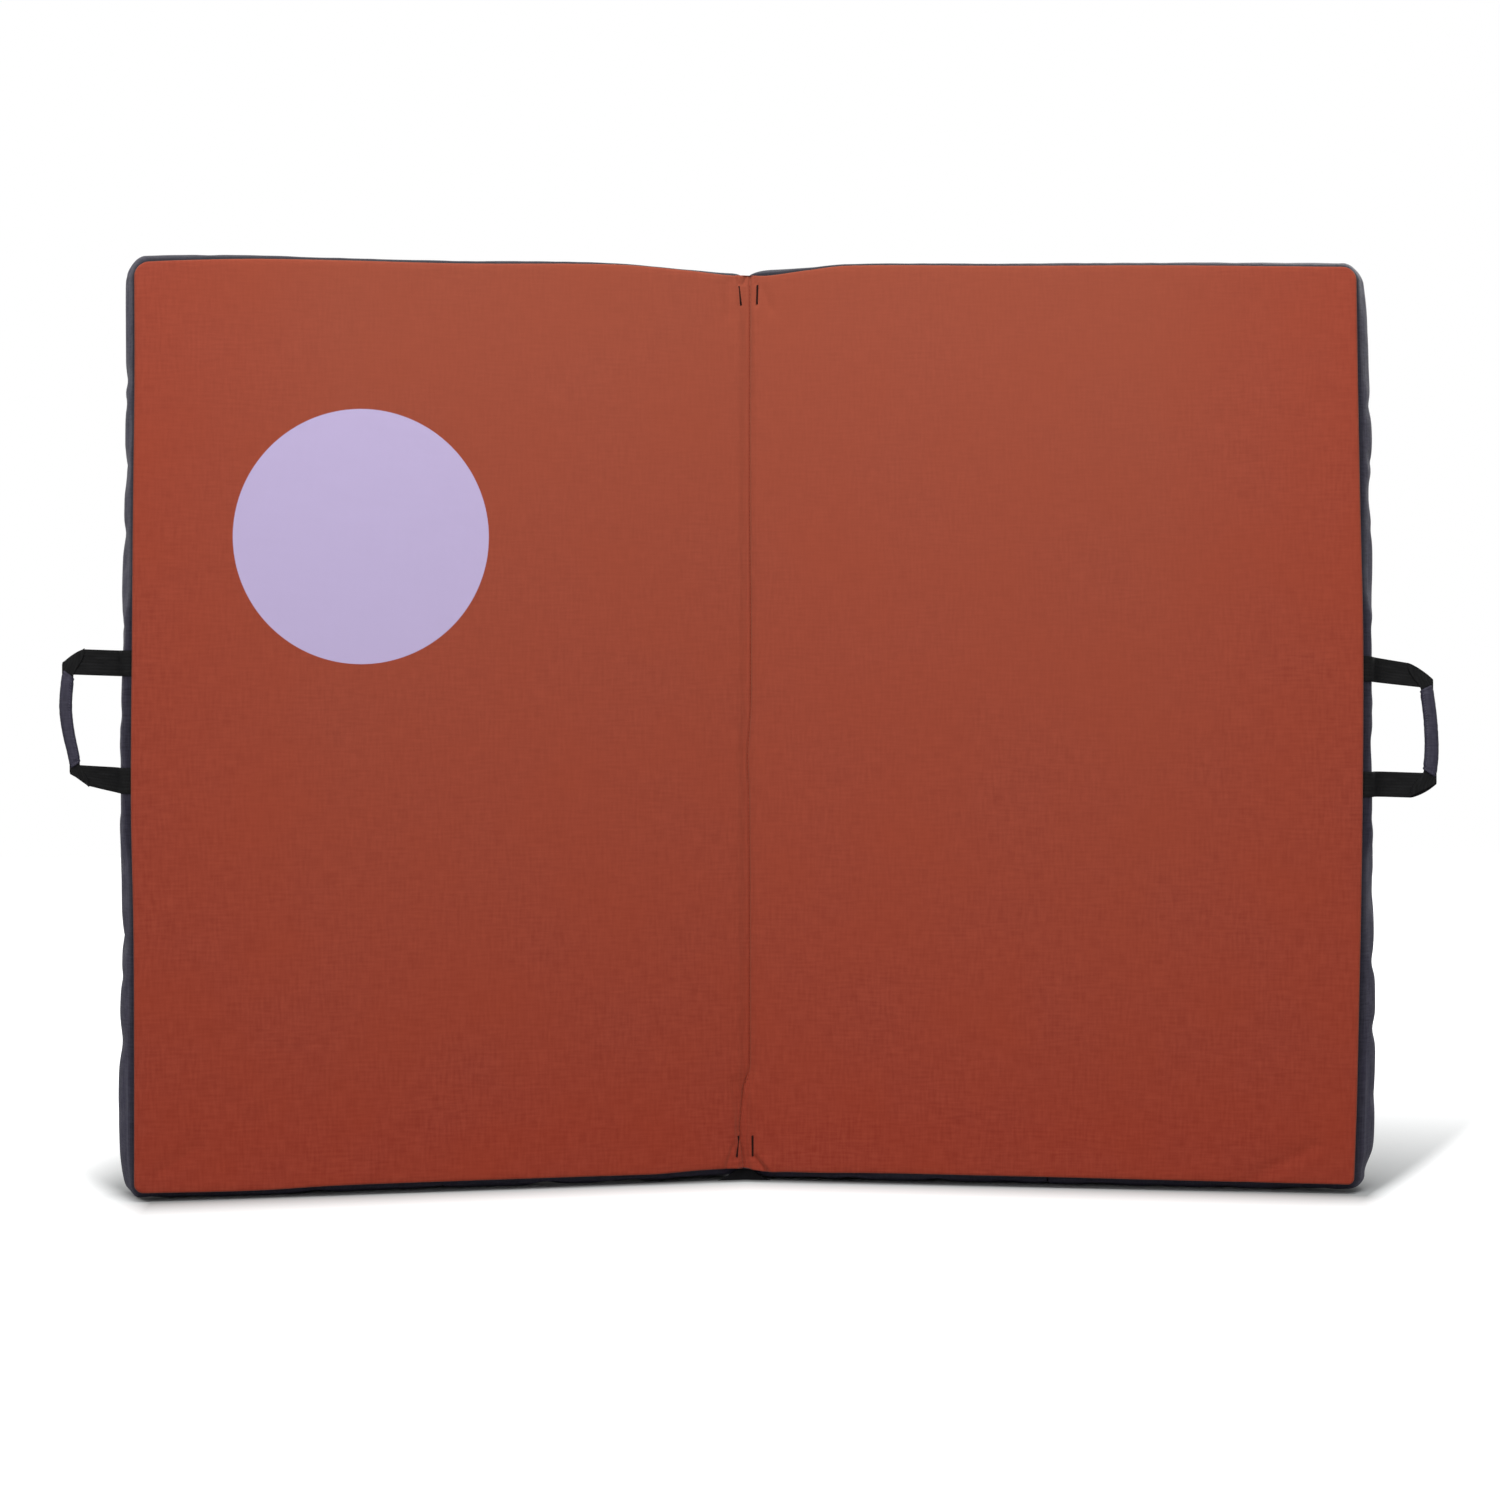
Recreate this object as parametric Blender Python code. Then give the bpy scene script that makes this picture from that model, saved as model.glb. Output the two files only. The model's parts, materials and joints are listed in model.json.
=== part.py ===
# Folding bouldering crash pad, standing half open like a book on its long edge.
# Metres, +Z up. The fold axis is the Z axis and the origin is its foot on the floor.
# X runs along the open pad, and the landing side faces -Y.
# Each panel is drawn in a frame of its own: u runs outwards from the fold axis,
# t runs from the landing side towards the base side, and z runs up.

from math import atan2, cos, hypot, pi, radians, sin

import bmesh
import bpy
from mathutils import Vector

# Clearances
fit_gap = 0.0003           # between two pieces that touch on the real pad
layer_gap = 0.0004         # between two layers of one strap
cut_overrun = 0.001        # how far a cutter runs past the face it opens

# Panels, measured along the seams
rest_half_fold = radians(10)   # lean of each panel from the flat pad
seam_width = 0.600         # fold axis to outer seam
seam_height = 0.894        # bottom seam to top seam
seam_foot = 0.010          # bottom seam above the floor
seam_depth = 0.080         # landing seam to base seam
fold_wall_gap = 0.001      # fold axis to the panel's fold side
landing_face_gap = 0.0005  # plane of the fold axis to the top of the landing crown
landing_crown = 0.0055     # landing face above its seam
base_crown = 0.0045        # base face above its seam
crown_reach = 0.060        # seam to where the crown has levelled out
fold_reach_share = 0.5     # the same beside the fold, as a share of crown_reach
corner_radius = 0.014      # seam corner
corner_growth_share = 0.4  # growth of the corner radius with distance from the seam
seam_pull = 0.006          # how far the fold draws the landing seam in at top and bottom
seam_pull_reach = 0.100    # length over which it does so

# Covers and gussets
cover_thickness = 0.0012
gusset_thickness = 0.0012
side_bulge = 0.0095        # gusset beyond its seams
bulge_reach = 0.070        # fold side to where the gusset bulges fully
foot_flat_depth = 0.0005   # how much of the bottom bulge the floor presses flat
bulge_fullness = 0.6       # exponent: lower is fuller

# Foams
landing_foam_thickness = 0.012

# Facets
facet_crease = radians(35)
soft_crease = radians(60)

# Outline of a panel
corner_steps = 3
edge_point_shares = (0.035, 0.08, 0.14, 0.22, 0.40, 0.60, 0.80)
outer_side_steps = 6
fold_side_steps = 4
fold_steps = 6             # facets of the fabric in the fold
crown_inset_shares = (0, 0.06, 0.22, 0.50, 1)
gusset_depth_shares = (0, 0.05, 0.16, 0.38, 0.62, 0.84, 0.95, 1)

# Webbing
webbing_width = 0.025
webbing_thickness = 0.0016

# Carry handles
handle_thickness = 0.0022
handle_height = 0.138      # over both legs
handle_reach = 0.0595      # swing axis to the grip's outer side
handle_standoff = 0.003    # swing axis beyond the gusset's bulge
handle_bow = 0.0035        # bow of the grip
handle_fold_length = 0.0215    # folded corner, along the leg
handle_fold_height = 0.0144    # folded corner, along the grip
tab_shares = (0.01, 0.05, 0.16, 0.34)   # where the tab follows the gusset, in its depth
bend_share = 0.38          # where the handle bends off the gusset, in its depth
grip_width = 0.0115
grip_thickness = 0.0085
grip_wall = 0.0022
grip_half_steps = 4

# Closure straps
closure_drop = 0.127       # each closure in from its end seam
closure_inset = 0.100      # sewn end in from the outer seam
closure_reach = 0.345      # sewn end to the hook's bar
closure_clearance = 0.020  # level run of the strap past the folded-out panel edge
anchor_length = 0.045      # sewn patch of a strap
eye_clearance = 0.0005     # between a bar's corners and the eye around it
eye_lead = 0.014           # bar to where the two layers lie together
eye_steps = 10
eye_top = radians(125)     # where the outer layer meets the eye, from its far side
eye_foot = radians(-115)   # where the inner layer leaves it
keeper_setback = 0.026     # keeper before the bar
keeper_length = 0.008
keeper_wall = 0.0015
tail_length = 0.012        # loose end past the keeper
strap_rise_length = 0.030

# Flat hook
hook_thickness = 0.004
hook_bar = 0.005
hook_rail = 0.0045
hook_eye_slot = 0.009
hook_catch_slot = 0.0085
hook_gate = 0.006
hook_corner = 0.005
bar_side_play = 0.00075    # between a strap's edge and the side of its slot

# Hook loops on the other panel
loop_span = 0.034
loop_height = 0.010
loop_foot = 0.014
loop_steps = 10
loop_fullness = 0.8        # exponent of the arch: lower is squarer

# Shoulder straps
harness_centre_share = 0.51    # across the panel
shoulder_drop = 0.047      # top of the padded part below the upper closure
shoulder_half_width = 0.034
shoulder_end_half_width = 0.0145
shoulder_thickness = 0.014
shoulder_end_thickness = 0.005
shoulder_head_spread = 0.060   # from the harness centre
shoulder_foot_spread = 0.095
shoulder_bow = 0.016
shoulder_steps = 12
shoulder_section_shares = (    # of the half width, and of the thickness
    (-1, 0), (-1, 0.34), (-0.86, 0.72), (-0.5, 0.94), (0, 1),
    (0.5, 0.94), (0.86, 0.72), (1, 0.34), (1, 0),
)
shoulder_taper_share = 0.28    # of the length, narrowing to the foot
shoulder_head_fill_share = 0.08    # of the length, thickening from the head
shoulder_foot_fill_share = 0.12    # of the length, thinning to the foot
yoke_height = 0.048
yoke_overhang = 0.014      # yoke beyond the straps' outer edges
yoke_corner = 0.012
patch_thickness = 0.002

# Ladder locks and their webbing
lock_bar = 0.004
lock_slot = 0.0052
lock_bar_thickness = 0.0025
lock_rail = 0.004
lock_corner = 0.003
adjuster_length = 0.085    # lock to the sewn end
adjuster_tail = 0.048      # loose end below the lock
lower_anchor_height = 0.026
lower_anchor_side = 0.006  # patch beyond the webbing's edges

# Waist belt
belt_rise = 0.063          # above the lower closure
belt_clearance = 0.0605    # middle of the belt to the adjusters' sewn patches
belt_spread = 0.050        # sewn end from the harness centre
belt_reach = 0.150         # sewn end to the buckle's bar
belt_level_run = 0.030

# Side-release buckle
buckle_bar = 0.005
buckle_bar_thickness = 0.004
buckle_slot = 0.009
buckle_rail = 0.0050
buckle_body = 0.027
buckle_thickness = 0.0104
buckle_mouth_height = 0.0064
buckle_wall = 0.003
buckle_window = 0.010
buckle_window_depth = 0.004
prong_length = 0.024
prong_width = 0.006
arm_width = 0.0042
arm_length = 0.020
barb = 0.0022


# Places worked out from the sizes above
landing_seam = landing_face_gap + landing_crown
base_seam = landing_seam + seam_depth
base_face = base_seam + base_crown
gusset_front = landing_seam + cover_thickness + fit_gap
gusset_back = base_seam - cover_thickness - fit_gap
panel_middle = seam_foot + seam_height / 2
closure_foot = seam_foot + closure_drop
closure_head = seam_foot + seam_height - closure_drop
half_width = webbing_width / 2
half_webbing = webbing_thickness / 2
rest_level = base_face + fit_gap
harness_centre = seam_width * harness_centre_share
slot_half = half_width + bar_side_play
grip_length = handle_height - 2 * (webbing_width + fit_gap)

# Heights of the harness, whose shoulder straps fill the space that the rest leaves
belt_height = closure_foot + belt_rise
lower_anchor_middle = belt_height + belt_clearance + lower_anchor_height / 2
lock_height = lower_anchor_middle + adjuster_length
lock_half_height = 1.5 * lock_bar + lock_slot
shoulder_head = closure_head - shoulder_drop
shoulder_length = shoulder_head - fit_gap - lock_half_height - lock_height

# Levels of a folded-back strap above the base cover
pivot_level = webbing_thickness + fit_gap + half_webbing
return_level = keeper_wall + fit_gap + half_webbing
main_level = return_level + webbing_thickness + layer_gap
keeper_height = main_level + half_webbing + fit_gap + keeper_wall
eye_inner = hypot(hook_bar, hook_thickness) / 2 + eye_clearance
eye_middle = eye_inner + half_webbing
eye_level = eye_inner + webbing_thickness

# Levels of the webbing in a ladder lock
lock_layer_level = webbing_thickness + layer_gap + half_webbing
lock_bar_low = 2 * webbing_thickness + layer_gap + fit_gap
lock_bar_high = lock_bar_low + lock_bar_thickness
lock_top_level = lock_bar_high + fit_gap + half_webbing


def srgb(red, green, blue):
    """Linear colour of a display colour given from 0 to 255."""
    return [(channel / 255) ** 2.2 for channel in (red, green, blue)]


# Each finish: colour, roughness, metallic
finishes = {
    "landing_fabric": (srgb(160, 68, 46), 0.75, 0),
    "slate_fabric": (srgb(70, 68, 85), 0.7, 0),
    "base_fabric": (srgb(48, 48, 54), 0.65, 0),
    "black_webbing": (srgb(33, 33, 33), 0.8, 0),
    "closed_cell_foam": (srgb(205, 205, 200), 0.9, 0),
    "open_cell_foam": (srgb(214, 196, 140), 0.95, 0),
    "aluminium": (srgb(196, 198, 202), 0.35, 1),
    "black_plastic": (srgb(26, 26, 28), 0.45, 0),
}


def clear_scene():
    for obj in list(bpy.data.objects):
        bpy.data.objects.remove(obj, do_unlink=True)


def make_frame(name, location, parent=None, turn=0):
    """An empty that carries pieces."""
    frame = bpy.data.objects.new(name, None)
    bpy.context.scene.collection.objects.link(frame)
    frame.parent = parent
    frame.location = location
    frame.rotation_euler = (0, 0, turn)
    return frame


def make_material(name, finish):
    colour, roughness, metallic = finishes[finish]
    material = bpy.data.materials.new(name)
    material.use_nodes = True
    shader = material.node_tree.nodes["Principled BSDF"]
    shader.inputs["Base Color"].default_value = (*colour, 1)
    shader.inputs["Roughness"].default_value = roughness
    shader.inputs["Metallic"].default_value = metallic
    return material


def make_object(name, bm, finish, frame, crease=facet_crease):
    """A smooth-shaded object in its frame, with a material of its own."""
    bmesh.ops.recalc_face_normals(bm, faces=bm.faces)
    mesh = bpy.data.meshes.new(name)
    bm.to_mesh(mesh)
    bm.free()
    mesh.shade_smooth()
    mesh.set_sharp_from_angle(angle=crease)
    mesh.materials.append(make_material(name, finish))
    obj = bpy.data.objects.new(name, mesh)
    bpy.context.scene.collection.objects.link(obj)
    obj.parent = frame
    return obj


def loft(rings, ends_meet=False):
    """Quads from ring to ring, closed by end faces or back to the first ring."""
    bm = bmesh.new()
    loops = [[bm.verts.new(point) for point in ring] for ring in rings]
    pairs = list(zip(loops, loops[1:]))
    if ends_meet:
        pairs.append((loops[-1], loops[0]))
    else:
        bm.faces.new(loops[0])
        bm.faces.new(loops[-1])
    for near, far in pairs:
        for i in range(len(near)):
            j = (i + 1) % len(near)
            bm.faces.new((near[i], near[j], far[j], far[i]))
    return bm


def prism(outline, low, high, place):
    """An outline of (a, b) points swept from low to high. place gives each point's position."""
    bm = bmesh.new()
    face = bm.faces.new([bm.verts.new(place(a, b, low)) for a, b in outline])
    swept = bmesh.ops.extrude_face_region(bm, geom=[face])
    moved = [item for item in swept["geom"] if isinstance(item, bmesh.types.BMVert)]
    shift = Vector(place(0, 0, high)) - Vector(place(0, 0, low))
    bmesh.ops.translate(bm, vec=shift, verts=moved)
    return bm


def strip_outline(path, thickness):
    """Outline of a strip of even thickness along a path of (a, b) points, mitred at its bends."""
    points = [Vector(point) for point in path]
    near, far = [], []
    for i, point in enumerate(points):
        before = (point - points[i - 1]).normalized() if i else None
        after = (points[i + 1] - point).normalized() if i + 1 < len(points) else None
        before = before or after
        after = after or before
        normal_in = Vector((-before.y, before.x))
        normal_out = Vector((-after.y, after.x))
        mitre = (normal_in + normal_out) / (1 + normal_in.dot(normal_out)) * thickness / 2
        near.append(point + mitre)
        far.append(point - mitre)
    return near + far[::-1]


def rounded_rectangle(low_a, high_a, low_b, high_b, radius, steps=corner_steps):
    """Outline points of a rectangle with round corners, anticlockwise."""
    centres = (
        (low_a + radius, low_b + radius, pi),
        (high_a - radius, low_b + radius, 1.5 * pi),
        (high_a - radius, high_b - radius, 0),
        (low_a + radius, high_b - radius, 0.5 * pi),
    )
    outline = []
    for centre_a, centre_b, start in centres:
        for step in range(steps + 1):
            angle = start + step / steps * pi / 2
            outline.append((centre_a + radius * cos(angle), centre_b + radius * sin(angle)))
    return outline


def box_outline(low_a, high_a, low_b, high_b):
    return [(low_a, low_b), (high_a, low_b), (high_a, high_b), (low_a, high_b)]


def cut(target, outline, low, high, place, name):
    """Cut a prism out of a piece."""
    cutter = make_object(name, prism(outline, low, high, place), "black_plastic", target.parent)
    cutter.display_type = "WIRE"
    cutter.hide_render = True
    boolean = target.modifiers.new(name, "BOOLEAN")
    boolean.operation = "DIFFERENCE"
    boolean.solver = "EXACT"
    boolean.object = cutter


def smooth_step(share):
    share = min(max(share, 0), 1)
    return share * share * (3 - 2 * share)


def between(value, xs, ys):
    """Straight-line reading of y at a value of x, so that it lies on the facets."""
    for x_low, x_high, y_low, y_high in zip(xs, xs[1:], ys, ys[1:]):
        if value <= x_high:
            return y_low + (y_high - y_low) * (value - x_low) / (x_high - x_low)
    return ys[-1]


def crown_share(inset):
    """How much of its crown a face has at a distance in from its seam."""
    rises = [sin(share * pi / 2) for share in crown_inset_shares]
    return between(inset / crown_reach, crown_inset_shares, rises)


def bulge_share(depth_share):
    """How much of its bulge the gusset has at a share of its depth."""
    swells = [max(sin(share * pi), 0) ** bulge_fullness for share in gusset_depth_shares]
    return between(depth_share, gusset_depth_shares, swells)


def panel_outline(inset, depth_share, bulge=0, wall=0):
    """(u, z) points round a panel, in from its seams, or out by the gusset's bulge less a wall."""
    low_u = fold_wall_gap + inset * fold_reach_share
    high_u = seam_width - inset
    low_z = seam_foot + inset
    high_z = seam_foot + seam_height - inset
    radius = corner_radius + inset * corner_growth_share
    corners = (
        (low_u + radius, low_z + radius, pi, edge_point_shares),
        (high_u - radius, low_z + radius, 1.5 * pi, even_shares(outer_side_steps)),
        (high_u - radius, high_z - radius, 0, [1 - share for share in edge_point_shares[::-1]]),
        (low_u + radius, high_z - radius, 0.5 * pi, even_shares(fold_side_steps)),
    )
    points = []
    for index, (u, z, start, side_shares) in enumerate(corners):
        for step in range(corner_steps + 1):
            angle = start + step / corner_steps * pi / 2
            points.append((u + radius * cos(angle), z + radius * sin(angle), angle))
        next_u, next_z = corners[(index + 1) % 4][:2]
        side = start + pi / 2
        for share in side_shares:
            side_u = u + (next_u - u) * share + radius * cos(side)
            side_z = z + (next_z - z) * share + radius * sin(side)
            points.append((side_u, side_z, side))
    return [shaped_point(u, z, angle, depth_share, bulge, wall) for u, z, angle in points]


def even_shares(steps):
    return [step / steps for step in range(1, steps)]


def shaped_point(u, z, angle, depth_share, bulge, wall):
    """Swell, draw in and floor one outline point, whose outward normal has the angle given."""
    foot_bulge = seam_foot + foot_flat_depth
    full = side_bulge + (foot_bulge - side_bulge) * max(-sin(angle), 0)
    swell = bulge * full * smooth_step(u / bulge_reach) - wall
    swollen_u = u + swell * cos(angle)
    swollen_z = z + swell * sin(angle)
    pull = seam_pull * (1 - depth_share) * (1 - smooth_step(u / seam_pull_reach))
    drawn_z = panel_middle + (swollen_z - panel_middle) * (1 - pull / (seam_height / 2))
    return swollen_u, max(drawn_z, wall)


def ring_at(side, outline, t):
    return [(side * u, t, z) for u, z in outline]


def make_cover(name, finish, frame, side, seam, crown, depth_share):
    """A sewn face: crowned shell from its seam to a level middle, on either side of the panel."""
    out = 1 if crown > 0 else -1
    insets = [share * crown_reach for share in crown_inset_shares]
    outer, inner = [], []
    for inset in insets:
        outline = panel_outline(inset, depth_share)
        face = seam + crown * crown_share(inset)
        outer.append(ring_at(side, outline, face))
        inner.append(ring_at(side, outline, face - out * cover_thickness))
    return make_object(name, loft(outer[::-1] + inner), finish, frame)


def make_gusset(name, frame, side):
    """The band round a panel, from seam to seam, swelling past both on its three free sides."""
    outer, inner = [], []
    for share in gusset_depth_shares:
        t = gusset_front + share * (gusset_back - gusset_front)
        bulge = bulge_share(share)
        outer.append(ring_at(side, panel_outline(0, share, bulge), t))
        inner.append(ring_at(side, panel_outline(0, share, bulge, gusset_thickness), t))
    return make_object(name, loft(outer + inner[::-1], ends_meet=True), "slate_fabric", frame)


def make_foam(name, finish, frame, side, seam, crown, flat_t, depth_share):
    """A foam layer: flat on one face, and following its cover's crown on the other."""
    out = 1 if crown > 0 else -1
    edge = gusset_thickness + fit_gap
    flat_share = (flat_t - gusset_front) / (gusset_back - gusset_front)
    rings = []
    for share in crown_inset_shares[::-1]:
        inset = share * crown_reach
        face = seam + crown * crown_share(inset + edge) - out * (cover_thickness + fit_gap)
        rings.append(ring_at(side, panel_outline(inset, depth_share, 0, edge), face))
    rings.append(ring_at(side, panel_outline(0, flat_share, 0, edge), flat_t))
    return make_object(name, loft(rings), finish, frame)


def make_panel(hand, side, frame):
    """Covers, gusset, foams and handle of one panel."""
    foam_split = landing_face_gap + cover_thickness + fit_gap + landing_foam_thickness
    make_cover(f"{hand}_landing_cover", "landing_fabric", frame, side, landing_seam, -landing_crown, 0)
    make_cover(f"{hand}_base_cover", "base_fabric", frame, side, base_seam, base_crown, 1)
    make_gusset(f"{hand}_side_gusset", frame, side)
    make_foam(
        f"{hand}_landing_foam", "closed_cell_foam", frame, side,
        landing_seam, -landing_crown, foam_split, 0,
    )
    make_foam(
        f"{hand}_core_foam", "open_cell_foam", frame, side,
        base_seam, base_crown, foam_split + fit_gap, 1,
    )
    make_handle(hand, side, frame)


def make_fold_fabric(frame):
    """The strip of landing fabric that the fold turns on, an arc close round the fold axis."""
    outer = landing_seam - fit_gap
    inner = outer - cover_thickness
    half_span = rest_half_fold + atan2(fold_wall_gap, landing_seam)
    middle = pi / 2 - rest_half_fold
    angles = [middle + half_span * (2 * step / fold_steps - 1) for step in range(fold_steps + 1)]
    outline = [(outer * cos(angle), outer * sin(angle)) for angle in angles]
    outline += [(inner * cos(angle), inner * sin(angle)) for angle in angles[::-1]]
    low = seam_foot + seam_pull + corner_radius / 2
    high = seam_foot + seam_height - seam_pull - corner_radius / 2
    strip = prism(outline, low, high, lambda x, y, z: (x, y, z))
    make_object("fold_hinge_fabric", strip, "landing_fabric", frame)


def gusset_point(depth_share):
    """(u, t) of the outer gusset's surface at a share of its depth."""
    t = gusset_front + depth_share * (gusset_back - gusset_front)
    return seam_width + side_bulge * bulge_share(depth_share), t


def make_handle(hand, side, frame):
    """Two sewn tabs on the gusset, and the webbing loop and sleeve that swing from them."""
    pivot_u = seam_width + side_bulge + handle_standoff
    pivot_t = gusset_point(bend_share)[1]
    half_handle = handle_height / 2
    path = [gusset_point(share) for share in tab_shares]
    path = [(u + fit_gap + half_webbing, t) for u, t in path]
    lead = Vector((pivot_u, pivot_t)) - Vector(path[-1])
    stop = lead.length - handle_thickness / 2 - fit_gap
    path.append(Vector(path[-1]) + lead.normalized() * stop)
    outline = strip_outline(path, webbing_thickness)
    for part, centre in (("upper", half_handle - half_width), ("lower", half_width - half_handle)):
        low = panel_middle + centre - half_width
        tab = prism(outline, low, low + webbing_width, lambda u, t, z: (side * u, t, z))
        make_object(f"{hand}_handle_tab_{part}", tab, "black_webbing", frame)
    swing = make_frame(f"{hand}_handle_frame", (side * pivot_u, pivot_t, panel_middle), frame)
    make_handle_webbing(hand, side, swing)
    make_handle_grip(hand, side, swing)


def grip_middle(z):
    """Distance of the grip's middle from the swing axis, at a height from the handle's middle."""
    share = z / (grip_length / 2)
    return handle_reach - grip_width / 2 - handle_bow * share * share


def make_handle_webbing(hand, side, frame):
    """Flat webbing: two legs, folded corners, and a narrow run inside the sleeve."""
    core = grip_width / 2 - grip_wall - fit_gap
    outer_z = handle_height / 2
    inner_z = outer_z - webbing_width
    core_z = grip_length / 2 + fit_gap
    fold_start = handle_reach - handle_bow - handle_fold_length
    upper = [
        (0, inner_z),
        (grip_middle(core_z) - core, inner_z),
    ]
    upper_outer = [
        (grip_middle(core_z) + core, core_z),
        (handle_reach - handle_bow, core_z),
        (handle_reach - handle_bow, outer_z - handle_fold_height),
        (fold_start, outer_z),
        (0, outer_z),
    ]
    heights = [core_z * (1 - step / grip_half_steps) for step in range(1, grip_half_steps)]
    half_core_in = [(grip_middle(z) - core, z) for z in heights]
    half_core_out = [(grip_middle(z) + core, z) for z in heights[::-1]]
    inside = upper + half_core_in + [(grip_middle(0) - core, 0)]
    outside = [(grip_middle(0) + core, 0)] + half_core_out + upper_outer
    outline = inside + [(a, -z) for a, z in inside[-2::-1]]
    outline += [(a, -z) for a, z in outside[::-1]] + outside[1:]
    half = handle_thickness / 2
    webbing = prism(outline, -half, half, lambda a, z, t: (side * a, t, z))
    make_object(f"{hand}_handle_webbing", webbing, "black_webbing", frame)


def make_handle_grip(hand, side, frame):
    """Oval sleeve round the handle's narrow run, with a flat bore."""
    outer_rings, inner_rings = [], []
    bore = grip_width / 2 - grip_wall
    bore_half = handle_thickness / 2 + fit_gap
    corner_turns = 2
    grip_sides = 4 * (corner_turns + 1)
    for step in range(-grip_half_steps, grip_half_steps + 1):
        z = grip_length / 2 * step / grip_half_steps
        middle = grip_middle(z)
        angles = [pi + 2 * pi * (turn + 0.5) / grip_sides for turn in range(grip_sides)]
        oval = [(grip_width / 2 * cos(angle), grip_thickness / 2 * sin(angle)) for angle in angles]
        slot = rounded_rectangle(-bore, bore, -bore_half, bore_half, fit_gap / 2, corner_turns)
        outer_rings.append([(side * (middle + a), t, z) for a, t in oval])
        inner_rings.append([(side * (middle + a), t, z) for a, t in slot])
    grip = loft(outer_rings + inner_rings[::-1], ends_meet=True)
    make_object(f"{hand}_handle_grip", grip, "slate_fabric", frame)


def eye_path(reach, level_run):
    """Centreline of a strap that goes round a bar at its reach and back through its keeper.

    Points are (along, level) from the strap's swing axis."""
    bar_rise = eye_level - pivot_level
    main_rise = main_level - pivot_level
    return_rise = return_level - pivot_level
    path = [(0, 0), (level_run, 0), (level_run + strap_rise_length, main_rise)]
    path.append((reach - eye_lead, main_rise))
    for step in range(eye_steps + 1):
        angle = eye_top + (eye_foot - eye_top) * step / eye_steps
        path.append((reach + eye_middle * cos(angle), bar_rise + eye_middle * sin(angle)))
    path.append((reach - eye_lead, return_rise))
    path.append((reach - keeper_setback - keeper_length - tail_length, return_rise))
    return path


def make_strap(name, frame, side, facing, pivot_u, z, reach, level_run):
    """Sewn patch, folding strap and keeper. The strap's frame is on its swing axis."""
    away = side * facing
    patch = box_outline(pivot_u - facing * anchor_length, pivot_u, z - half_width, z + half_width)
    sewn = prism(patch, rest_level, rest_level + webbing_thickness, lambda u, c, t: (side * u, t, c))
    make_object(f"{name}_anchor", sewn, "black_webbing", frame)
    swing = make_frame(f"{name}_frame", (side * pivot_u, rest_level + pivot_level, z), frame)
    outline = strip_outline(eye_path(reach, level_run), webbing_thickness)
    strap = prism(outline, -half_width, half_width, lambda a, b, c: (away * a, b, c))
    make_object(f"{name}_webbing", strap, "black_webbing", swing)
    make_keeper(name, swing, away, reach - keeper_setback)
    return swing


def make_keeper(name, frame, away, near):
    """A flat ring round both layers of a strap."""
    inner_c = half_width + fit_gap
    outer_c = inner_c + keeper_wall
    low = -pivot_level
    high = keeper_height - pivot_level
    outer = rounded_rectangle(-outer_c, outer_c, low, high, keeper_wall, 2)
    inner = rounded_rectangle(-inner_c, inner_c, low + keeper_wall, high - keeper_wall, fit_gap, 2)
    rings = []
    for outline, ends in ((outer, (near - keeper_length, near)), (inner, (near, near - keeper_length))):
        for a in ends:
            rings.append([(away * a, b, c) for c, b in outline])
    make_object(f"{name}_keeper", loft(rings, ends_meet=True), "black_plastic", frame)


def make_hook(name, frame, away):
    """Flat metal hook: a closed slot for the strap's eye, and an open one with a side gate."""
    half = hook_thickness / 2
    side_c = slot_half + hook_rail
    eye_start = hook_bar / 2
    catch_start = eye_start + hook_eye_slot + hook_bar
    catch_end = catch_start + hook_catch_slot
    tip = catch_end + hook_bar

    def place(a, c, t):
        return away * a, t, c

    plate = rounded_rectangle(-eye_start, tip, -side_c, side_c, hook_corner, 4)
    hook = make_object(name, prism(plate, -half, half, place), "aluminium", frame)
    deep = half + cut_overrun
    eye_slot = box_outline(eye_start, eye_start + hook_eye_slot, -slot_half, slot_half)
    catch_slot = rounded_rectangle(catch_start, catch_end, -slot_half, slot_half, hook_bar / 2, 3)
    gate = box_outline(catch_end - hook_gate, catch_end - fit_gap, slot_half / 2, side_c + cut_overrun)
    cut(hook, eye_slot, -deep, deep, place, f"{name}_eye_cutter")
    cut(hook, catch_slot, -deep, deep, place, f"{name}_catch_cutter")
    cut(hook, gate, -deep, deep, place, f"{name}_gate_cutter")


def make_closure(part, z, frame, side):
    """A strap on the base side of one panel, with its hook in its eye."""
    pivot_u = seam_width - closure_inset
    name = f"{part}_closure"
    level_run = closure_inset + side_bulge + closure_clearance
    swing = make_strap(name, frame, side, -1, pivot_u, z, closure_reach, level_run)
    bar = (-side * closure_reach, eye_level - pivot_level, 0)
    pivot = make_frame(f"{name}_hook_frame", bar, swing)
    make_hook(f"{name}_hook", pivot, -side)


def make_closure_loop(part, z, frame, side):
    """The webbing loop that a closure hook catches."""
    middle = seam_width - closure_inset
    path = [(middle - loop_span / 2 - loop_foot, rest_level + half_webbing)]
    for step in range(loop_steps + 1):
        angle = pi - pi * step / loop_steps
        height = loop_height * sin(angle) ** loop_fullness if 0 < step < loop_steps else 0
        path.append((middle + loop_span / 2 * cos(angle), rest_level + half_webbing + height))
    path.append((middle + loop_span / 2 + loop_foot, rest_level + half_webbing))
    outline = strip_outline(path, webbing_thickness)
    loop = prism(outline, z - half_width, z + half_width, lambda u, t, c: (side * u, t, c))
    make_object(f"{part}_closure_loop", loop, "black_webbing", frame)


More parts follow.
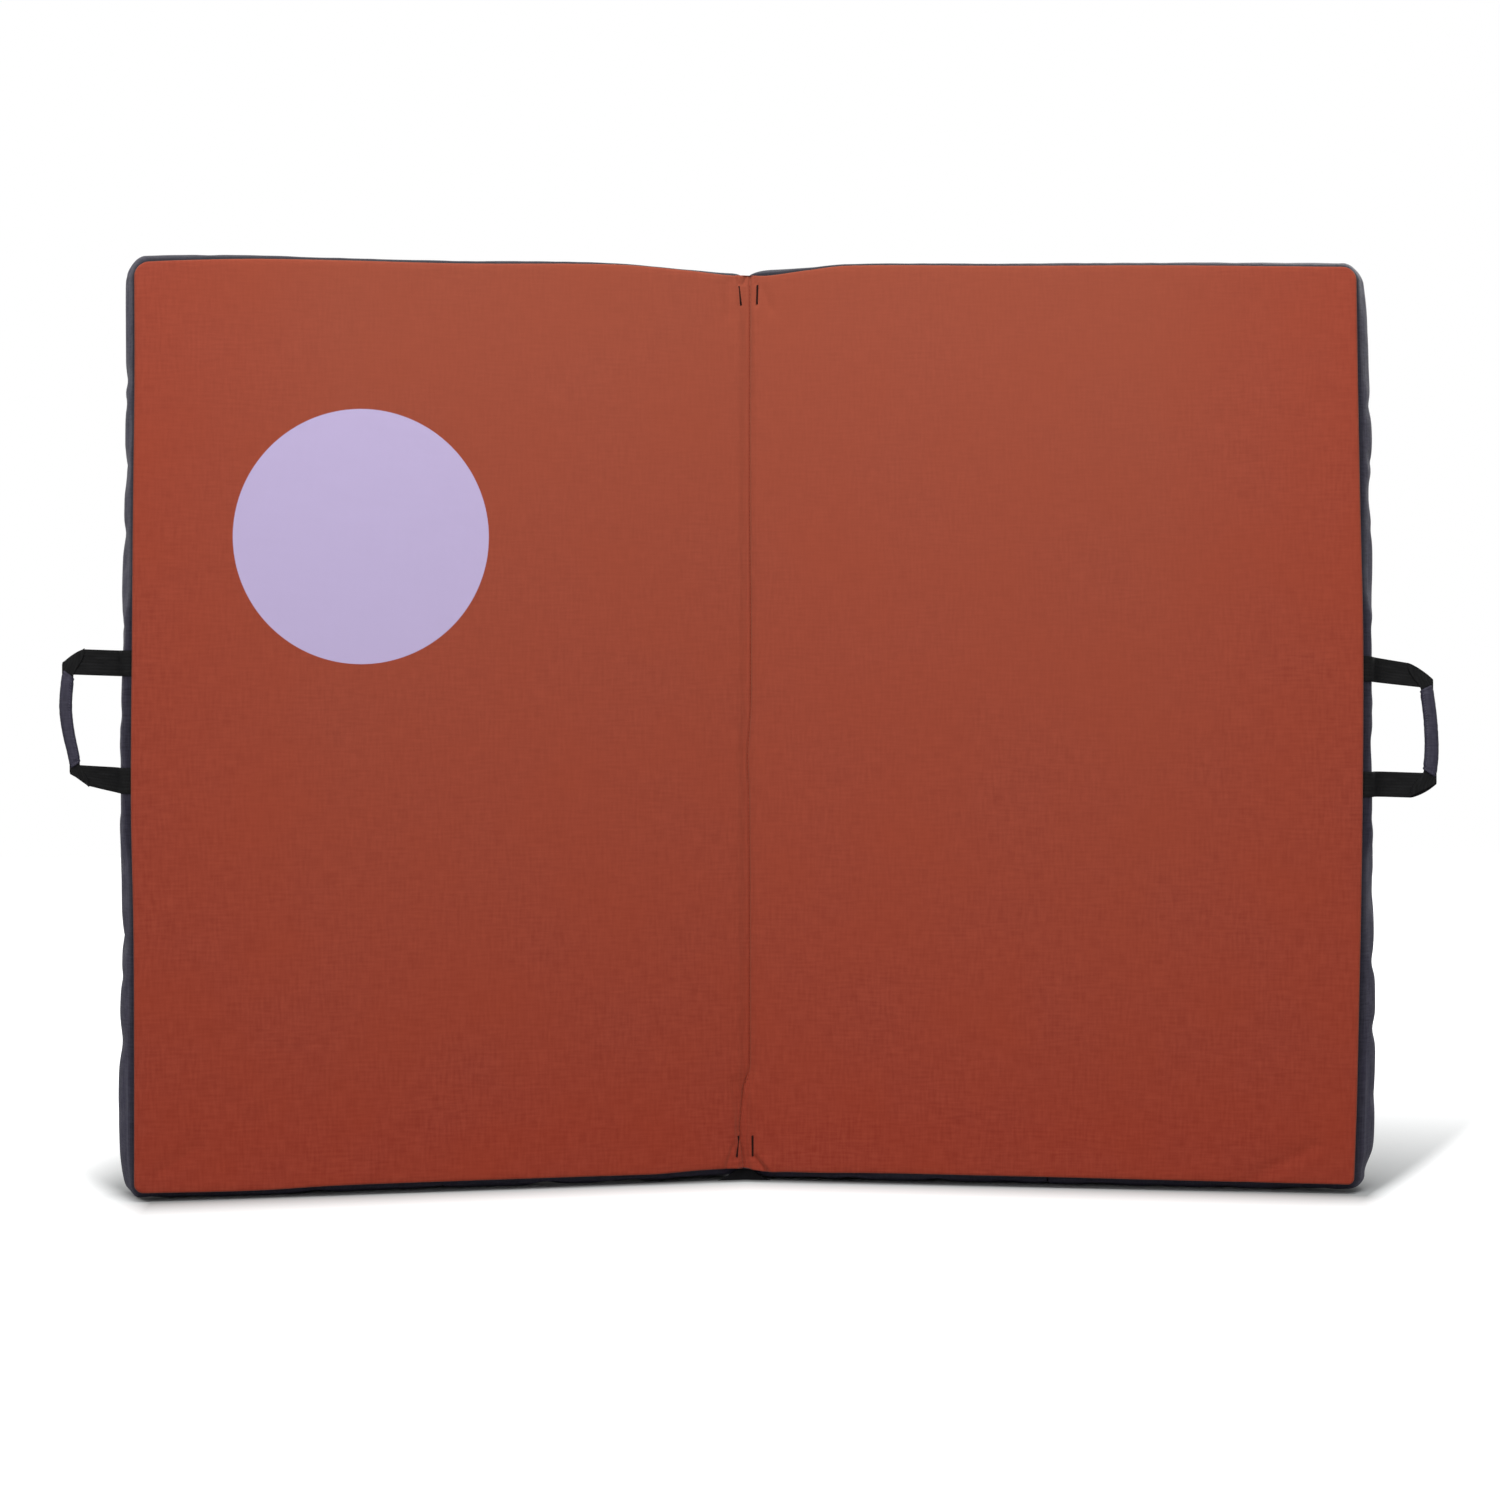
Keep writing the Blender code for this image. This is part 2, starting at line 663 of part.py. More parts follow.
def shoulder_section(share):
    """(spread, half width, thickness) of a shoulder strap at a share of its length."""
    spread = shoulder_head_spread + (shoulder_foot_spread - shoulder_head_spread) * share
    spread += shoulder_bow * sin(pi * share)
    left = 1 - share
    taper = 1 - smooth_step(left / shoulder_taper_share)
    half = shoulder_half_width + (shoulder_end_half_width - shoulder_half_width) * taper
    head_fill = smooth_step(share / shoulder_head_fill_share)
    fill = min(head_fill, smooth_step(left / shoulder_foot_fill_share))
    thick = shoulder_end_thickness + (shoulder_thickness - shoulder_end_thickness) * fill
    return spread, half, thick


def make_shoulder_strap(name, frame, side, outwards):
    """Padded strap with a crowned face and drawn-in edges, flat against the base cover."""
    rings = []
    for step in range(shoulder_steps + 1):
        share = step / shoulder_steps
        spread, half, thick = shoulder_section(share)
        centre = harness_centre + outwards * spread
        z = shoulder_head - share * shoulder_length
        section = [(centre + half * a, rest_level + thick * b) for a, b in shoulder_section_shares]
        rings.append([(side * u, t, z) for u, t in section])
    make_object(name, loft(rings), "slate_fabric", frame, soft_crease)


def make_yoke(frame, side):
    """The patch that both shoulder straps are sewn under."""
    half = shoulder_head_spread + shoulder_half_width + yoke_overhang
    low = shoulder_head + fit_gap
    outline = rounded_rectangle(
        harness_centre - half, harness_centre + half, low, low + yoke_height, yoke_corner, 4
    )
    yoke = prism(outline, rest_level, rest_level + patch_thickness, lambda u, z, t: (side * u, t, z))
    make_object("shoulder_yoke", yoke, "slate_fabric", frame)


def make_ladder_lock(name, frame, side, u, z):
    """Three bars between two rails, raised on the rails so that the webbing runs beneath."""
    half_u = half_width + bar_side_play + lock_rail
    slot_start = lock_bar / 2
    slot_end = slot_start + lock_slot
    half_z = lock_half_height

    def place(a, c, t):
        return side * (u + a), rest_level + t, z + c

    plate = rounded_rectangle(-half_u, half_u, -half_z, half_z, lock_corner, 3)
    lock = make_object(name, prism(plate, 0, lock_bar_high, place), "black_plastic", frame)
    channel = box_outline(-slot_half, slot_half, -half_z - cut_overrun, half_z + cut_overrun)
    cut(lock, channel, -cut_overrun, lock_bar_low, place, f"{name}_channel_cutter")
    for index, sign in enumerate((-1, 1)):
        ends = sorted((sign * slot_start, sign * slot_end))
        slot = box_outline(-slot_half, slot_half, ends[0], ends[1])
        above = lock_bar_high + cut_overrun
        cut(lock, slot, lock_bar_low - cut_overrun, above, place, f"{name}_slot_cutter_{index}")


def make_adjuster(name, frame, side, u, z):
    """Webbing from its sewn end, under the lock, round the middle bar and out as a loose end."""
    turn = lock_bar / 2 + lock_slot / 2
    round_off = webbing_thickness
    sewn = lower_anchor_middle
    top = lock_top_level
    path = [
        (sewn, half_webbing),
        (z + turn - round_off, half_webbing),
        (z + turn, half_webbing + round_off),
        (z + turn, top - round_off),
        (z + turn - round_off, top),
        (z - turn + round_off, top),
        (z - turn, top - round_off),
        (z - turn, lock_layer_level + round_off),
        (z - turn - round_off, lock_layer_level),
        (z - turn - adjuster_tail, lock_layer_level),
    ]
    outline = strip_outline([(a, rest_level + level) for a, level in path], webbing_thickness)

    def place(a, t, c):
        return side * (u + c), t, a

    strip = prism(outline, -half_width, half_width, place)
    make_object(f"{name}_webbing", strip, "black_webbing", frame)
    patch_u = half_width + lower_anchor_side
    patch = rounded_rectangle(
        u - patch_u, u + patch_u, sewn - lower_anchor_height / 2, sewn + lower_anchor_height / 2,
        lower_anchor_side / 2,
    )
    low = rest_level + webbing_thickness + fit_gap
    sewn_patch = prism(patch, low, low + patch_thickness, lambda a, c, t: (side * a, t, c))
    make_object(f"{name}_anchor", sewn_patch, "slate_fabric", frame)


def make_buckle_frame_cut(buckle, name, place, half):
    start = buckle_bar / 2
    slot = box_outline(start, start + buckle_slot, -slot_half, slot_half)
    cut(buckle, slot, -half - cut_overrun, half + cut_overrun, place, f"{name}_slot_cutter")


def make_buckle_socket(name, frame, away):
    """Moulded socket: bar and slot for the belt, mouth for the plug, and a window each side."""
    thin = buckle_bar_thickness / 2
    thick = buckle_thickness / 2
    half_c = slot_half + buckle_rail
    slot_end = buckle_bar / 2 + buckle_slot
    end = slot_end + buckle_wall + buckle_body
    shoulder = slot_end + buckle_wall
    profile = [
        (-buckle_bar / 2, -thin), (slot_end, -thin), (shoulder, -thick), (end, -thick),
        (end, thick), (shoulder, thick), (slot_end, thin), (-buckle_bar / 2, thin),
    ]
    body = prism(profile, -half_c, half_c, lambda a, b, c: (away * a, b, c))
    socket = make_object(name, body, "black_plastic", frame)

    def place(a, c, b):
        return away * a, b, c

    make_buckle_frame_cut(socket, name, place, thick)
    mouth_c = half_c - buckle_wall
    mouth = box_outline(shoulder + buckle_wall, end + cut_overrun, -mouth_c, mouth_c)
    mouth_half = buckle_mouth_height / 2
    cut(socket, mouth, -mouth_half, mouth_half, place, f"{name}_mouth_cutter")
    window_start = shoulder + buckle_wall + buckle_window / 2
    for index, sign in enumerate((-1, 1)):
        edges = sorted((sign * (mouth_c - buckle_wall), sign * (half_c + cut_overrun)))
        window = box_outline(window_start, window_start + buckle_window, edges[0], edges[1])
        window_half = buckle_window_depth / 2
        cut(socket, window, -window_half, window_half, place, f"{name}_window_cutter_{index}")


def make_buckle_plug(name, frame, away):
    """Moulded plug: bar and slot for the belt, a middle guide and two springy barbed arms."""
    half_c = slot_half + buckle_rail
    base = buckle_bar / 2 + buckle_slot + buckle_wall
    arm_outer = half_c - buckle_wall - barb
    arm_inner = arm_outer - arm_width
    half_prong = prong_width / 2
    upper = [
        (base, half_c),
        (base, arm_outer),
        (base + arm_length - barb * 2, arm_outer),
        (base + arm_length - barb * 2, arm_outer + barb - fit_gap),
        (base + arm_length, arm_outer - barb / 2),
        (base + arm_length, arm_inner),
        (base, arm_inner),
        (base, half_prong),
        (base + prong_length, half_prong),
    ]
    outline = [(-buckle_bar / 2, half_c)] + upper
    outline += [(a, -c) for a, c in outline[::-1]]

    def place(a, c, b):
        return away * a, b, c

    half = buckle_bar_thickness / 2
    plug = make_object(name, prism(outline, -half, half, place), "black_plastic", frame)
    make_buckle_frame_cut(plug, name, place, half)


def make_belt_half(part, facing, frame, side, buckle_name, make_buckle):
    name = f"{part}_belt"
    pivot_u = harness_centre + facing * belt_spread
    swing = make_strap(name, frame, side, facing, pivot_u, belt_height, belt_reach, belt_level_run)
    bar = (side * facing * belt_reach, eye_level - pivot_level, 0)
    buckle_frame = make_frame(f"{name}_buckle_frame", bar, swing)
    make_buckle(buckle_name, buckle_frame, side * facing)


def make_harness(frame, side):
    """Shoulder straps and waist belt on the base side of the panel that is worn."""
    make_yoke(frame, side)
    for part, outwards in (("inner", -1), ("outer", 1)):
        u = harness_centre + outwards * shoulder_foot_spread
        make_shoulder_strap(f"{part}_shoulder_strap", frame, side, outwards)
        make_ladder_lock(f"{part}_ladder_lock", frame, side, u, lock_height)
        make_adjuster(f"{part}_adjuster", frame, side, u, lock_height)
    make_belt_half("inner", -1, frame, side, "belt_buckle_socket", make_buckle_socket)
    make_belt_half("outer", 1, frame, side, "belt_buckle_plug", make_buckle_plug)


def make_pad():
    clear_scene()
    frames = {}
    for hand, side in (("left", -1), ("right", 1)):
        frames[hand] = make_frame(f"{hand}_panel_frame", (0, 0, 0), turn=-side * rest_half_fold)
        make_panel(hand, side, frames[hand])
    make_fold_fabric(frames["left"])
    make_harness(frames["left"], -1)
    for part, z in (("lower", closure_foot), ("upper", closure_head)):
        make_closure_loop(part, z, frames["left"], -1)
        make_closure(part, z, frames["right"], 1)


make_pad()
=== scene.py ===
# Folding bouldering crash pad, standing half open: its fabrics, webbing and fittings.
import json
from math import atan2, cos, exp, hypot, pi, radians, sin

import bmesh
import bpy
from mathutils import Matrix, Vector, noise
from mathutils.bvhtree import BVHTree


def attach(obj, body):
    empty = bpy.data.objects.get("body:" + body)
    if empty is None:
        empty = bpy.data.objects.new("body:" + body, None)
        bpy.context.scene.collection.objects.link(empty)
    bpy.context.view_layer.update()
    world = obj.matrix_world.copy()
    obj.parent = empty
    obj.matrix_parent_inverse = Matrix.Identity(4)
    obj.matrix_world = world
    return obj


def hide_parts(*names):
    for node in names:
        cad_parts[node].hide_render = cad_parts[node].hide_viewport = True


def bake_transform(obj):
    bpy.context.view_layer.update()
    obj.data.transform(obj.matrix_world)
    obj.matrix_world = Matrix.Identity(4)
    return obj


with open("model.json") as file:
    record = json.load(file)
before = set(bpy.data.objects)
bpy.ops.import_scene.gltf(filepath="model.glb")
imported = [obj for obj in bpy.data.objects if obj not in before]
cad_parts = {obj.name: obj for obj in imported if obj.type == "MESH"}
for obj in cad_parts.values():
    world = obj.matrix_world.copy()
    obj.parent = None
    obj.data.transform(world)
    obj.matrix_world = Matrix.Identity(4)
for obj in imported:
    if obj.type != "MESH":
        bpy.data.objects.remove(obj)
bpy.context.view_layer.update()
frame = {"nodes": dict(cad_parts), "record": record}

# Each panel has its own axes: u out from the fold, t back from the landing side, z up
panel = {
    "lean": radians(10), "width": 0.600, "height": 0.894, "foot": 0.010, "foldGap": 0.001,
    "foldCorners": {"top": 0.0015, "foot": 0.0026},
    "corners": {(-1, "top"): 0.014, (-1, "foot"): 0.009, (1, "top"): 0.013, (1, "foot"): 0.006},
    "landingSeam": 0.006, "landingFace": 0.0005, "baseSeam": 0.086, "baseFace": 0.0905,
    "restLevel": 0.0908, "floorGap": 0.0002, "sides": {"left": -1, "right": 1},
}
middleZ = panel["foot"] + panel["height"] / 2
foldStart, foldEnd = (-0.008, 0, middleZ), (0.008, 0, middleZ)


def panelPoint(side, u, t, z, lean=panel["lean"]):
    return Vector((side * (u * cos(lean) + t * sin(lean)), t * cos(lean) - u * sin(lean), z))


def clamped(value, low=0, high=1):
    return min(max(value, low), high)


def smoothStep(share):
    share = clamped(share)
    return share * share * (3 - 2 * share)


def mix(low, high, share):
    return low + (high - low) * share


def signOf(value):
    return -1 if value < 0 else 1


def arch(share, power=1):
    return max(sin(pi * share), 0) ** power


# Node helpers: a value is a socket or a plain number, and a plain colour is as it shows, out of 255
def isSocket(value):
    return hasattr(value, "is_output")


def wire(node, inputs):
    for key, value in inputs.items():
        if isSocket(value):
            node.id_data.links.new(value, node.inputs[key])
        else:
            node.inputs[key].default_value = value
    return node.outputs


def addNode(tree, kind, inputs, **settings):
    node = tree.nodes.new("ShaderNode" + kind)
    for key, value in settings.items():
        setattr(node, key, value)
    return wire(node, inputs)


def maths(operation, first, second=0):
    tree = (first if isSocket(first) else second).id_data
    return addNode(tree, "Math", {0: first, 1: second}, operation=operation)[0]


def plus(first, second):
    return maths("ADD", first, second)


def minus(first, second):
    return maths("SUBTRACT", first, second)


def times(first, second):
    return maths("MULTIPLY", first, second)


def atLeast(value, least):
    return plus(times(value, 1 - least), least)


def ridges(value):
    return maths("ABSOLUTE", maths("SINE", times(value, pi)))


def blendColour(share, first, second, kind="MIX"):
    tree = next(value for value in (share, first, second) if isSocket(value)).id_data
    first, second = [
        value if isSocket(value) else (*[(channel / 255) ** 2.2 for channel in value], 1)
        for value in (first, second)
    ]
    return addNode(tree, "Mix", {0: share, 6: first, 7: second}, data_type="RGBA", blend_type=kind)[2]


def noiseNode(vector, scale, detail=2, stretch=None):
    tree = vector.id_data
    if stretch:
        vector = addNode(tree, "Mapping", {"Vector": vector, "Scale": stretch})[0]
    return addNode(tree, "TexNoise", {"Vector": vector, "Scale": scale, "Detail": detail})["Fac"]


def ramp(value, low, high):
    inputs = {"Value": value, "From Min": low, "From Max": high}
    return addNode(value.id_data, "MapRange", inputs, clamp=True)[0]


def bump(height, strength, distance, normal=None):
    inputs = {"Height": height, "Strength": strength, "Distance": distance}
    if normal:
        inputs["Normal"] = normal
    return addNode(height.id_data, "Bump", inputs)[0]


# Height of an over and under weave, 0 to 1, with threads a pitch apart
def plainWeave(axes, pitch):
    across, along = maths("DIVIDE", axes[0], pitch), maths("DIVIDE", axes[1], pitch)
    heights = []
    for own, other, sign in ((across, along, 1), (along, across, -1)):
        thread = maths("SINE", times(maths("FRACT", own), pi))
        over = maths("SINE", times(plus(other, maths("FLOOR", own)), pi))
        heights.append(times(thread, plus(times(over, 0.35 * sign), 0.65)))
    return maths("MAXIMUM", *heights)


socketNames = {
    "roughness": "Roughness", "metallic": "Metallic", "specular": "Specular IOR Level",
    "sheen": "Sheen Weight", "sheenTint": "Sheen Tint",
}


def startMaterial(name, look):
    material = bpy.data.materials.new(name)
    material.use_nodes = True
    shader = material.node_tree.nodes["Principled BSDF"]
    wire(shader, {socket: look[key] for key, socket in socketNames.items() if key in look})
    return material, shader


# The place on the flat cloth, whole and as axes
def clothPlace(material):
    cloth = addNode(material.node_tree, "UVMap", {}, uv_map="cloth")[0]
    return cloth, addNode(material.node_tree, "SeparateXYZ", {0: cloth})


# Painted light: the cloth is painted lighter towards its top, where the top lamp's light falls, and less so
# beside its edges
def paintedToplightCloth(axes, colour, fade):
    upward = maths("POWER", ramp(axes[1], *fade["up"]), 0.7)
    inner = atLeast(ramp(maths("ABSOLUTE", axes[0]), *fade["side"]), fade["least"])
    return blendColour(times(times(upward, inner), fade["most"]), colour, fade["colour"])


# A plain round print on the cloth
def printedDisc(cloth, weave, colour, disc):
    away = addNode(cloth.id_data, "VectorMath", {0: cloth, 1: disc["middle"]}, operation="DISTANCE")["Value"]
    edge = plus(away, times(weave, disc["bleed"]))
    return blendColour(ramp(edge, disc["radius"] + disc["soft"], disc["radius"]), colour, disc["colour"])


# Painted shade: the cloth darkens into its seam, and a strip along the pad's top is painted darker too
def seamShade(axes, colour, seam):
    away = atLeast(ramp(axes[1], *seam["reach"]), seam["least"])
    strip = minus(ramp(axes[0], *seam["topStart"]), ramp(axes[0], *seam["topEnd"]))
    return blendColour(1.0, colour, times(away, plus(times(strip, -seam["topDark"]), 1)), "MULTIPLY")


def clothMaterial(name, look):
    material, shader = startMaterial(name, look)
    cloth, axes = clothPlace(material)
    weave = plainWeave(axes, look["pitch"])
    warp = noiseNode(cloth, look["slubScale"], 3, (1, 0.12, 1))
    weft = noiseNode(cloth, look["slubScale"], 3, (0.12, 1, 1))
    colour = blendColour(ramp(plus(warp, weft), 0.72, 1.28), look["dark"], look["light"])
    cloud = ramp(noiseNode(cloth, look["cloudScale"], 3), 0.3, 0.7)
    colour = blendColour(times(cloud, look["cloud"]), colour, look["tint"])
    normal = bump(weave, look["weaveBump"], look["pitch"] * 0.3)
    # Painted light on the red cloth, lighter towards its top and its middle
    if "fade" in look:
        colour = paintedToplightCloth(axes, colour, look["fade"])
    if "print" in look:
        colour = printedDisc(cloth, weave, colour, look["print"])
    if "streaks" in look:
        # Painted highlights: lighter streaks along the band's wrinkles, with a matching bump
        streaks = look["streaks"]
        highlightStreak = noiseNode(cloth, streaks["scale"], 2, streaks["stretch"])
        colour = blendColour(times(ramp(highlightStreak, 0.5, 0.68), streaks["share"]), colour, streaks["colour"])
        normal = bump(highlightStreak, streaks["bump"], 0.0012, normal)
    colour = blendColour(1.0, colour, atLeast(ramp(weave, 0.1, 0.75), 1 - look["threadShade"]), "MULTIPLY")
    # Painted shade into the band's seam and along its top run
    if "seamShade" in look:
        colour = seamShade(axes, colour, look["seamShade"])
    normal = bump(noiseNode(cloth, look["rippleScale"]), look["rippleBump"], 0.0015, normal)
    wire(shader, {"Base Color": colour, "Normal": normal})
    return material


def webbingMaterial(name, look):
    material, shader = startMaterial(name, look)
    cloth, axes = clothPlace(material)
    across = maths("DIVIDE", axes[1], look["rib"])
    slant = plus(maths("DIVIDE", axes[0], look["pitch"]), times(maths("PINGPONG", across, 1), 1.6))
    height = times(ridges(slant), plus(times(ridges(across), 0.4), 0.6))
    slub = noiseNode(cloth, look["slubScale"], 3, (0.15, 1, 1))
    colour = blendColour(ramp(times(height, slub), 0.05, 0.55), look["dark"], look["light"])
    wire(shader, {"Base Color": colour, "Normal": bump(height, look["weaveBump"], look["pitch"] * 0.3)})
    return material


# Moulded, cast or spun finish on the piece's own place in the pad
def grainMaterial(name, look):
    material, shader = startMaterial(name, look)
    place = addNode(material.node_tree, "TexCoord", {})["Object"]
    grain = noiseNode(place, look["grainScale"], 4, look.get("stretch"))
    share = ramp(plus(times(grain, 0.5), times(noiseNode(place, look["cloudScale"]), 0.5)), 0.3, 0.7)
    wire(shader, {
        "Base Color": blendColour(share, look["dark"], look["light"]),
        "Roughness": plus(times(grain, look["roughSpread"]), look["roughness"] - look["roughSpread"] / 2),
        "Normal": bump(grain, look["bump"], look["bumpDistance"]),
    })
    return material


# Twisted thread, along and round each stitch
def threadMaterial(name, look):
    material, shader = startMaterial(name, look)
    axes = clothPlace(material)[1]
    ply = ridges(plus(maths("DIVIDE", axes[0], look["lay"]), axes[1]))
    colour = blendColour(ramp(ply, 0.1, 0.8), look["dark"], look["light"])
    wire(shader, {"Base Color": colour, "Normal": bump(ply, 0.8, 0.0001)})
    return material


fineWeave = {
    "cloud": 0.4, "cloudScale": 14, "slubScale": 500, "pitch": 0.0007, "threadShade": 0.25,
    "weaveBump": 0.4, "rippleBump": 0.5, "rippleScale": 60,
}
looks = {
    clothMaterial: {
        "rustCloth": {
            "dark": (148, 57, 44), "light": (170, 73, 56), "tint": (166, 65, 43), "cloud": 0.5,
            "cloudScale": 9,
            "slubScale": 420, "pitch": 0.0009, "threadShade": 0.22, "weaveBump": 0.5, "rippleBump": 0.35,
            "rippleScale": 34, "roughness": 0.78, "specular": 0.1, "sheen": 0.3,
            "sheenTint": (1, 0.72, 0.5, 1),
            # Painted light: the red cloth lighter towards its top and its middle
            "fade": {
                "up": (0.06, 0.95), "side": (0.61, 0.40), "least": 0.45, "most": 0.62,
                "colour": (161, 88, 67),
            },
            "print": {
                "middle": (-0.381, 0.641, 0), "radius": 0.124, "soft": 0.0006, "bleed": 0.0004,
                "colour": (199, 184, 224),
            },
        },
        "slateCloth": {
            **fineWeave, "dark": (47, 45, 57), "light": (72, 70, 84), "tint": (60, 57, 75),
            "roughness": 0.5, "specular": 0.22,
        },
        "bandCloth": {
            **fineWeave, "dark": (53, 50, 64), "light": (87, 84, 101), "tint": (69, 64, 88),
            "roughness": 0.55, "specular": 0.16,
            # Painted highlights: lighter streaks along the band's wrinkles
            "streaks": {
                "scale": 130, "stretch": (0.045, 1, 1), "share": 0.45, "colour": (106, 105, 118),
                "bump": 0.9,
            },
            # Painted shade into the seam and along the top run
            "seamShade": {
                "reach": (0.0030, 0.0120), "least": 0.42,
                "topStart": (1.180, 1.200), "topEnd": (1.785, 1.805), "topDark": 0.58,
            },
        },
        "baseCloth": {
            "dark": (40, 40, 46), "light": (58, 58, 66), "tint": (50, 50, 58), "cloud": 0.4,
            "cloudScale": 8,
            "slubScale": 330, "pitch": 0.0013, "threadShade": 0.4, "weaveBump": 0.7, "rippleBump": 0.5,
            "rippleScale": 30, "roughness": 0.6, "specular": 0.25,
        },
        "lining": {
            "dark": (34, 34, 38), "light": (46, 46, 50), "tint": (40, 40, 44), "cloud": 0.3,
            "cloudScale": 12,
            "slubScale": 500, "pitch": 0.0009, "threadShade": 0.2, "weaveBump": 0.25, "rippleBump": 0.3,
            "rippleScale": 40, "roughness": 0.4, "specular": 0.5,
        },
    },
    webbingMaterial: {
        "blackWebbing": {
            "dark": (23, 23, 23), "light": (46, 46, 47), "rib": 0.0031, "pitch": 0.0011, "slubScale": 300,
            "weaveBump": 0.8, "roughness": 0.75, "specular": 0.08,
        },
        "bindingTape": {
            "dark": (12, 12, 13), "light": (34, 34, 37), "rib": 0.0011, "pitch": 0.0008, "slubScale": 300,
            "weaveBump": 0.6, "roughness": 0.7, "specular": 0.1,
        },
    },
    grainMaterial: {
        "satinAluminium": {
            "dark": (176, 178, 184), "light": (206, 208, 212), "metallic": 1, "grainScale": 900,
            "cloudScale": 60,
            "stretch": (0.15, 1, 1), "bump": 0.15, "bumpDistance": 0.0001, "roughness": 0.34,
            "roughSpread": 0.14,
        },
        "mouldedPlastic": {
            "dark": (24, 24, 26), "light": (33, 33, 36), "grainScale": 1400, "cloudScale": 50, "bump": 0.25,
            "bumpDistance": 0.0001, "roughness": 0.42, "roughSpread": 0.12,
        },
        "closedFoam": {
            "dark": (38, 38, 42), "light": (58, 58, 62), "grainScale": 500, "cloudScale": 30, "bump": 0.5,
            "bumpDistance": 0.0004, "roughness": 0.85, "roughSpread": 0.1,
        },
        "openFoam": {
            "dark": (192, 172, 116), "light": (222, 205, 152), "grainScale": 380, "cloudScale": 30,
            "bump": 0.8,
            "bumpDistance": 0.0006, "roughness": 0.92, "roughSpread": 0.08,
        },
    },
    threadMaterial: {
        "rustThread": {
            "dark": (84, 27, 19), "light": (150, 64, 44), "lay": 0.0009, "roughness": 0.6, "specular": 0.2,
        },
        "darkThread": {
            "dark": (12, 8, 9), "light": (40, 26, 25), "lay": 0.0008, "roughness": 0.7, "specular": 0.1,
        },
        "webbingThread": {
            "dark": (22, 22, 24), "light": (66, 66, 70), "lay": 0.0008, "roughness": 0.6, "specular": 0.2,
        },
        "slateThread": {"dark": (44, 42, 54), "light": (104, 102, 122), "lay": 0.0009, "roughness": 0.55},
    },
}
finishes = {name: make(name, look) for make, group in looks.items() for name, look in group.items()}
slotFinishes = {
    "landing_fabric": "rustCloth", "slate_fabric": "slateCloth", "base_fabric": "baseCloth",
    "black_webbing": "blackWebbing", "closed_cell_foam": "closedFoam", "open_cell_foam": "openFoam",
    "aluminium": "satinAluminium", "black_plastic": "mouldedPlastic",
}
print("materials made:", len(finishes))


# Mesh helpers
def newMesh(bm, name):
    mesh = bpy.data.meshes.new(name)
    bm.to_mesh(mesh)
    bm.free()
    return mesh


def newObject(name, data):
    made = bpy.data.objects.new(name, data)
    bpy.context.scene.collection.objects.link(made)
    return made


def finishPiece(bm, name, finish):
    mesh = newMesh(bm, name)
    mesh.materials.append(finishes[finish])
    mesh.shade_smooth()
    piece = newObject(name, mesh)
    return piece


def newCloth():
    bm = bmesh.new()
    bm.loops.layers.uv.new("cloth")
    return bm


# A grid put in place by shape, which gives each share's point and its place on the flat cloth
def addGrid(bm, stepsAcross, stepsUp, shape):
    uvMap = bm.loops.layers.uv["cloth"]
    made = bmesh.ops.create_grid(bm, x_segments=stepsAcross, y_segments=stepsUp, size=0.5)["verts"]
    flat = {}
    for vert in made:
        vert.co, flat[vert] = shape(vert.co.x + 0.5, vert.co.y + 0.5)
    faces = {face for vert in made for face in vert.link_faces}
    for face in faces:
        for loop in face.loops:
            loop[uvMap].uv = flat[loop.vert]
    return made, list(faces)


def clothGrid(stepsAcross, stepsUp, shape, turned=False):
    bm = newCloth()
    _, faces = addGrid(bm, stepsAcross, stepsUp, shape)
    if turned:
        bmesh.ops.reverse_faces(bm, faces=faces)
    return bm


# Gives cloth its thickness, with its coated side as the lining
def thicken(piece, thickness):
    piece.data.materials.append(finishes["lining"])
    solid = piece.modifiers.new("thickness", "SOLIDIFY")
    solid.thickness = thickness
    solid.offset = -1
    solid.material_offset = 1


# Sewn faces: the cloth rolls over its edge into the seam
face = {
    "roll": 0.0022, "rollTurn": radians(140), "crownReach": 0.055, "thickness": 0.0010,
    "foldBand": 0.002, "foldReach": 0.029, "foldTurn": 0.006,
    "grooveHalf": 0.0016, "groove": 0.0022, "valleyHalf": 0.008, "valley": 0.0008, "seamReach": 0.05,
}
rollLength = face["roll"] * face["rollTurn"]
rollSlack = rollLength - face["roll"]


# Inset from the seam, and how far in front of it, for cloth q in from its own rim
def edgeInset(q):
    roll = face["roll"]
    if q >= rollLength:
        return roll + q - rollLength, roll
    turn = (rollLength - q) / roll
    return roll - roll * sin(turn), roll * cos(turn)


def crownRise(q):
    return sin(pi / 2 * clamped((q - rollLength) / face["crownReach"]))


# Place on a face of cloth point (u, v), whose rim is at endU and endV: (u, v, lift, crown share)
def sewnPoint(u, v, endU, endV, corner):
    qU, qV = endU - u, endV - v
    radius = corner + rollSlack
    crown = crownRise(qU) * crownRise(qV)
    if qU < radius and qV < radius:
        reachU, reachV = radius - qU, radius - qV
        inset, lift = edgeInset(radius - max(reachU, reachV))
        out = (radius - rollSlack - inset) / max(hypot(reachU, reachV), 1e-9)
        return endU - radius + out * reachU, endV - radius + out * reachV, lift, crown
    insetU, liftU = edgeInset(qU)
    insetV, liftV = edgeInset(qV)
    return endU - rollSlack - insetU, endV - rollSlack - insetV, min(liftU, liftV), crown


# Moves even shares from -1 to 1 towards both ends, and towards the middle too with two waves
def bunched(share, bunch, waves=1):
    return share + bunch * sin(waves * pi * share) / (waves * pi)


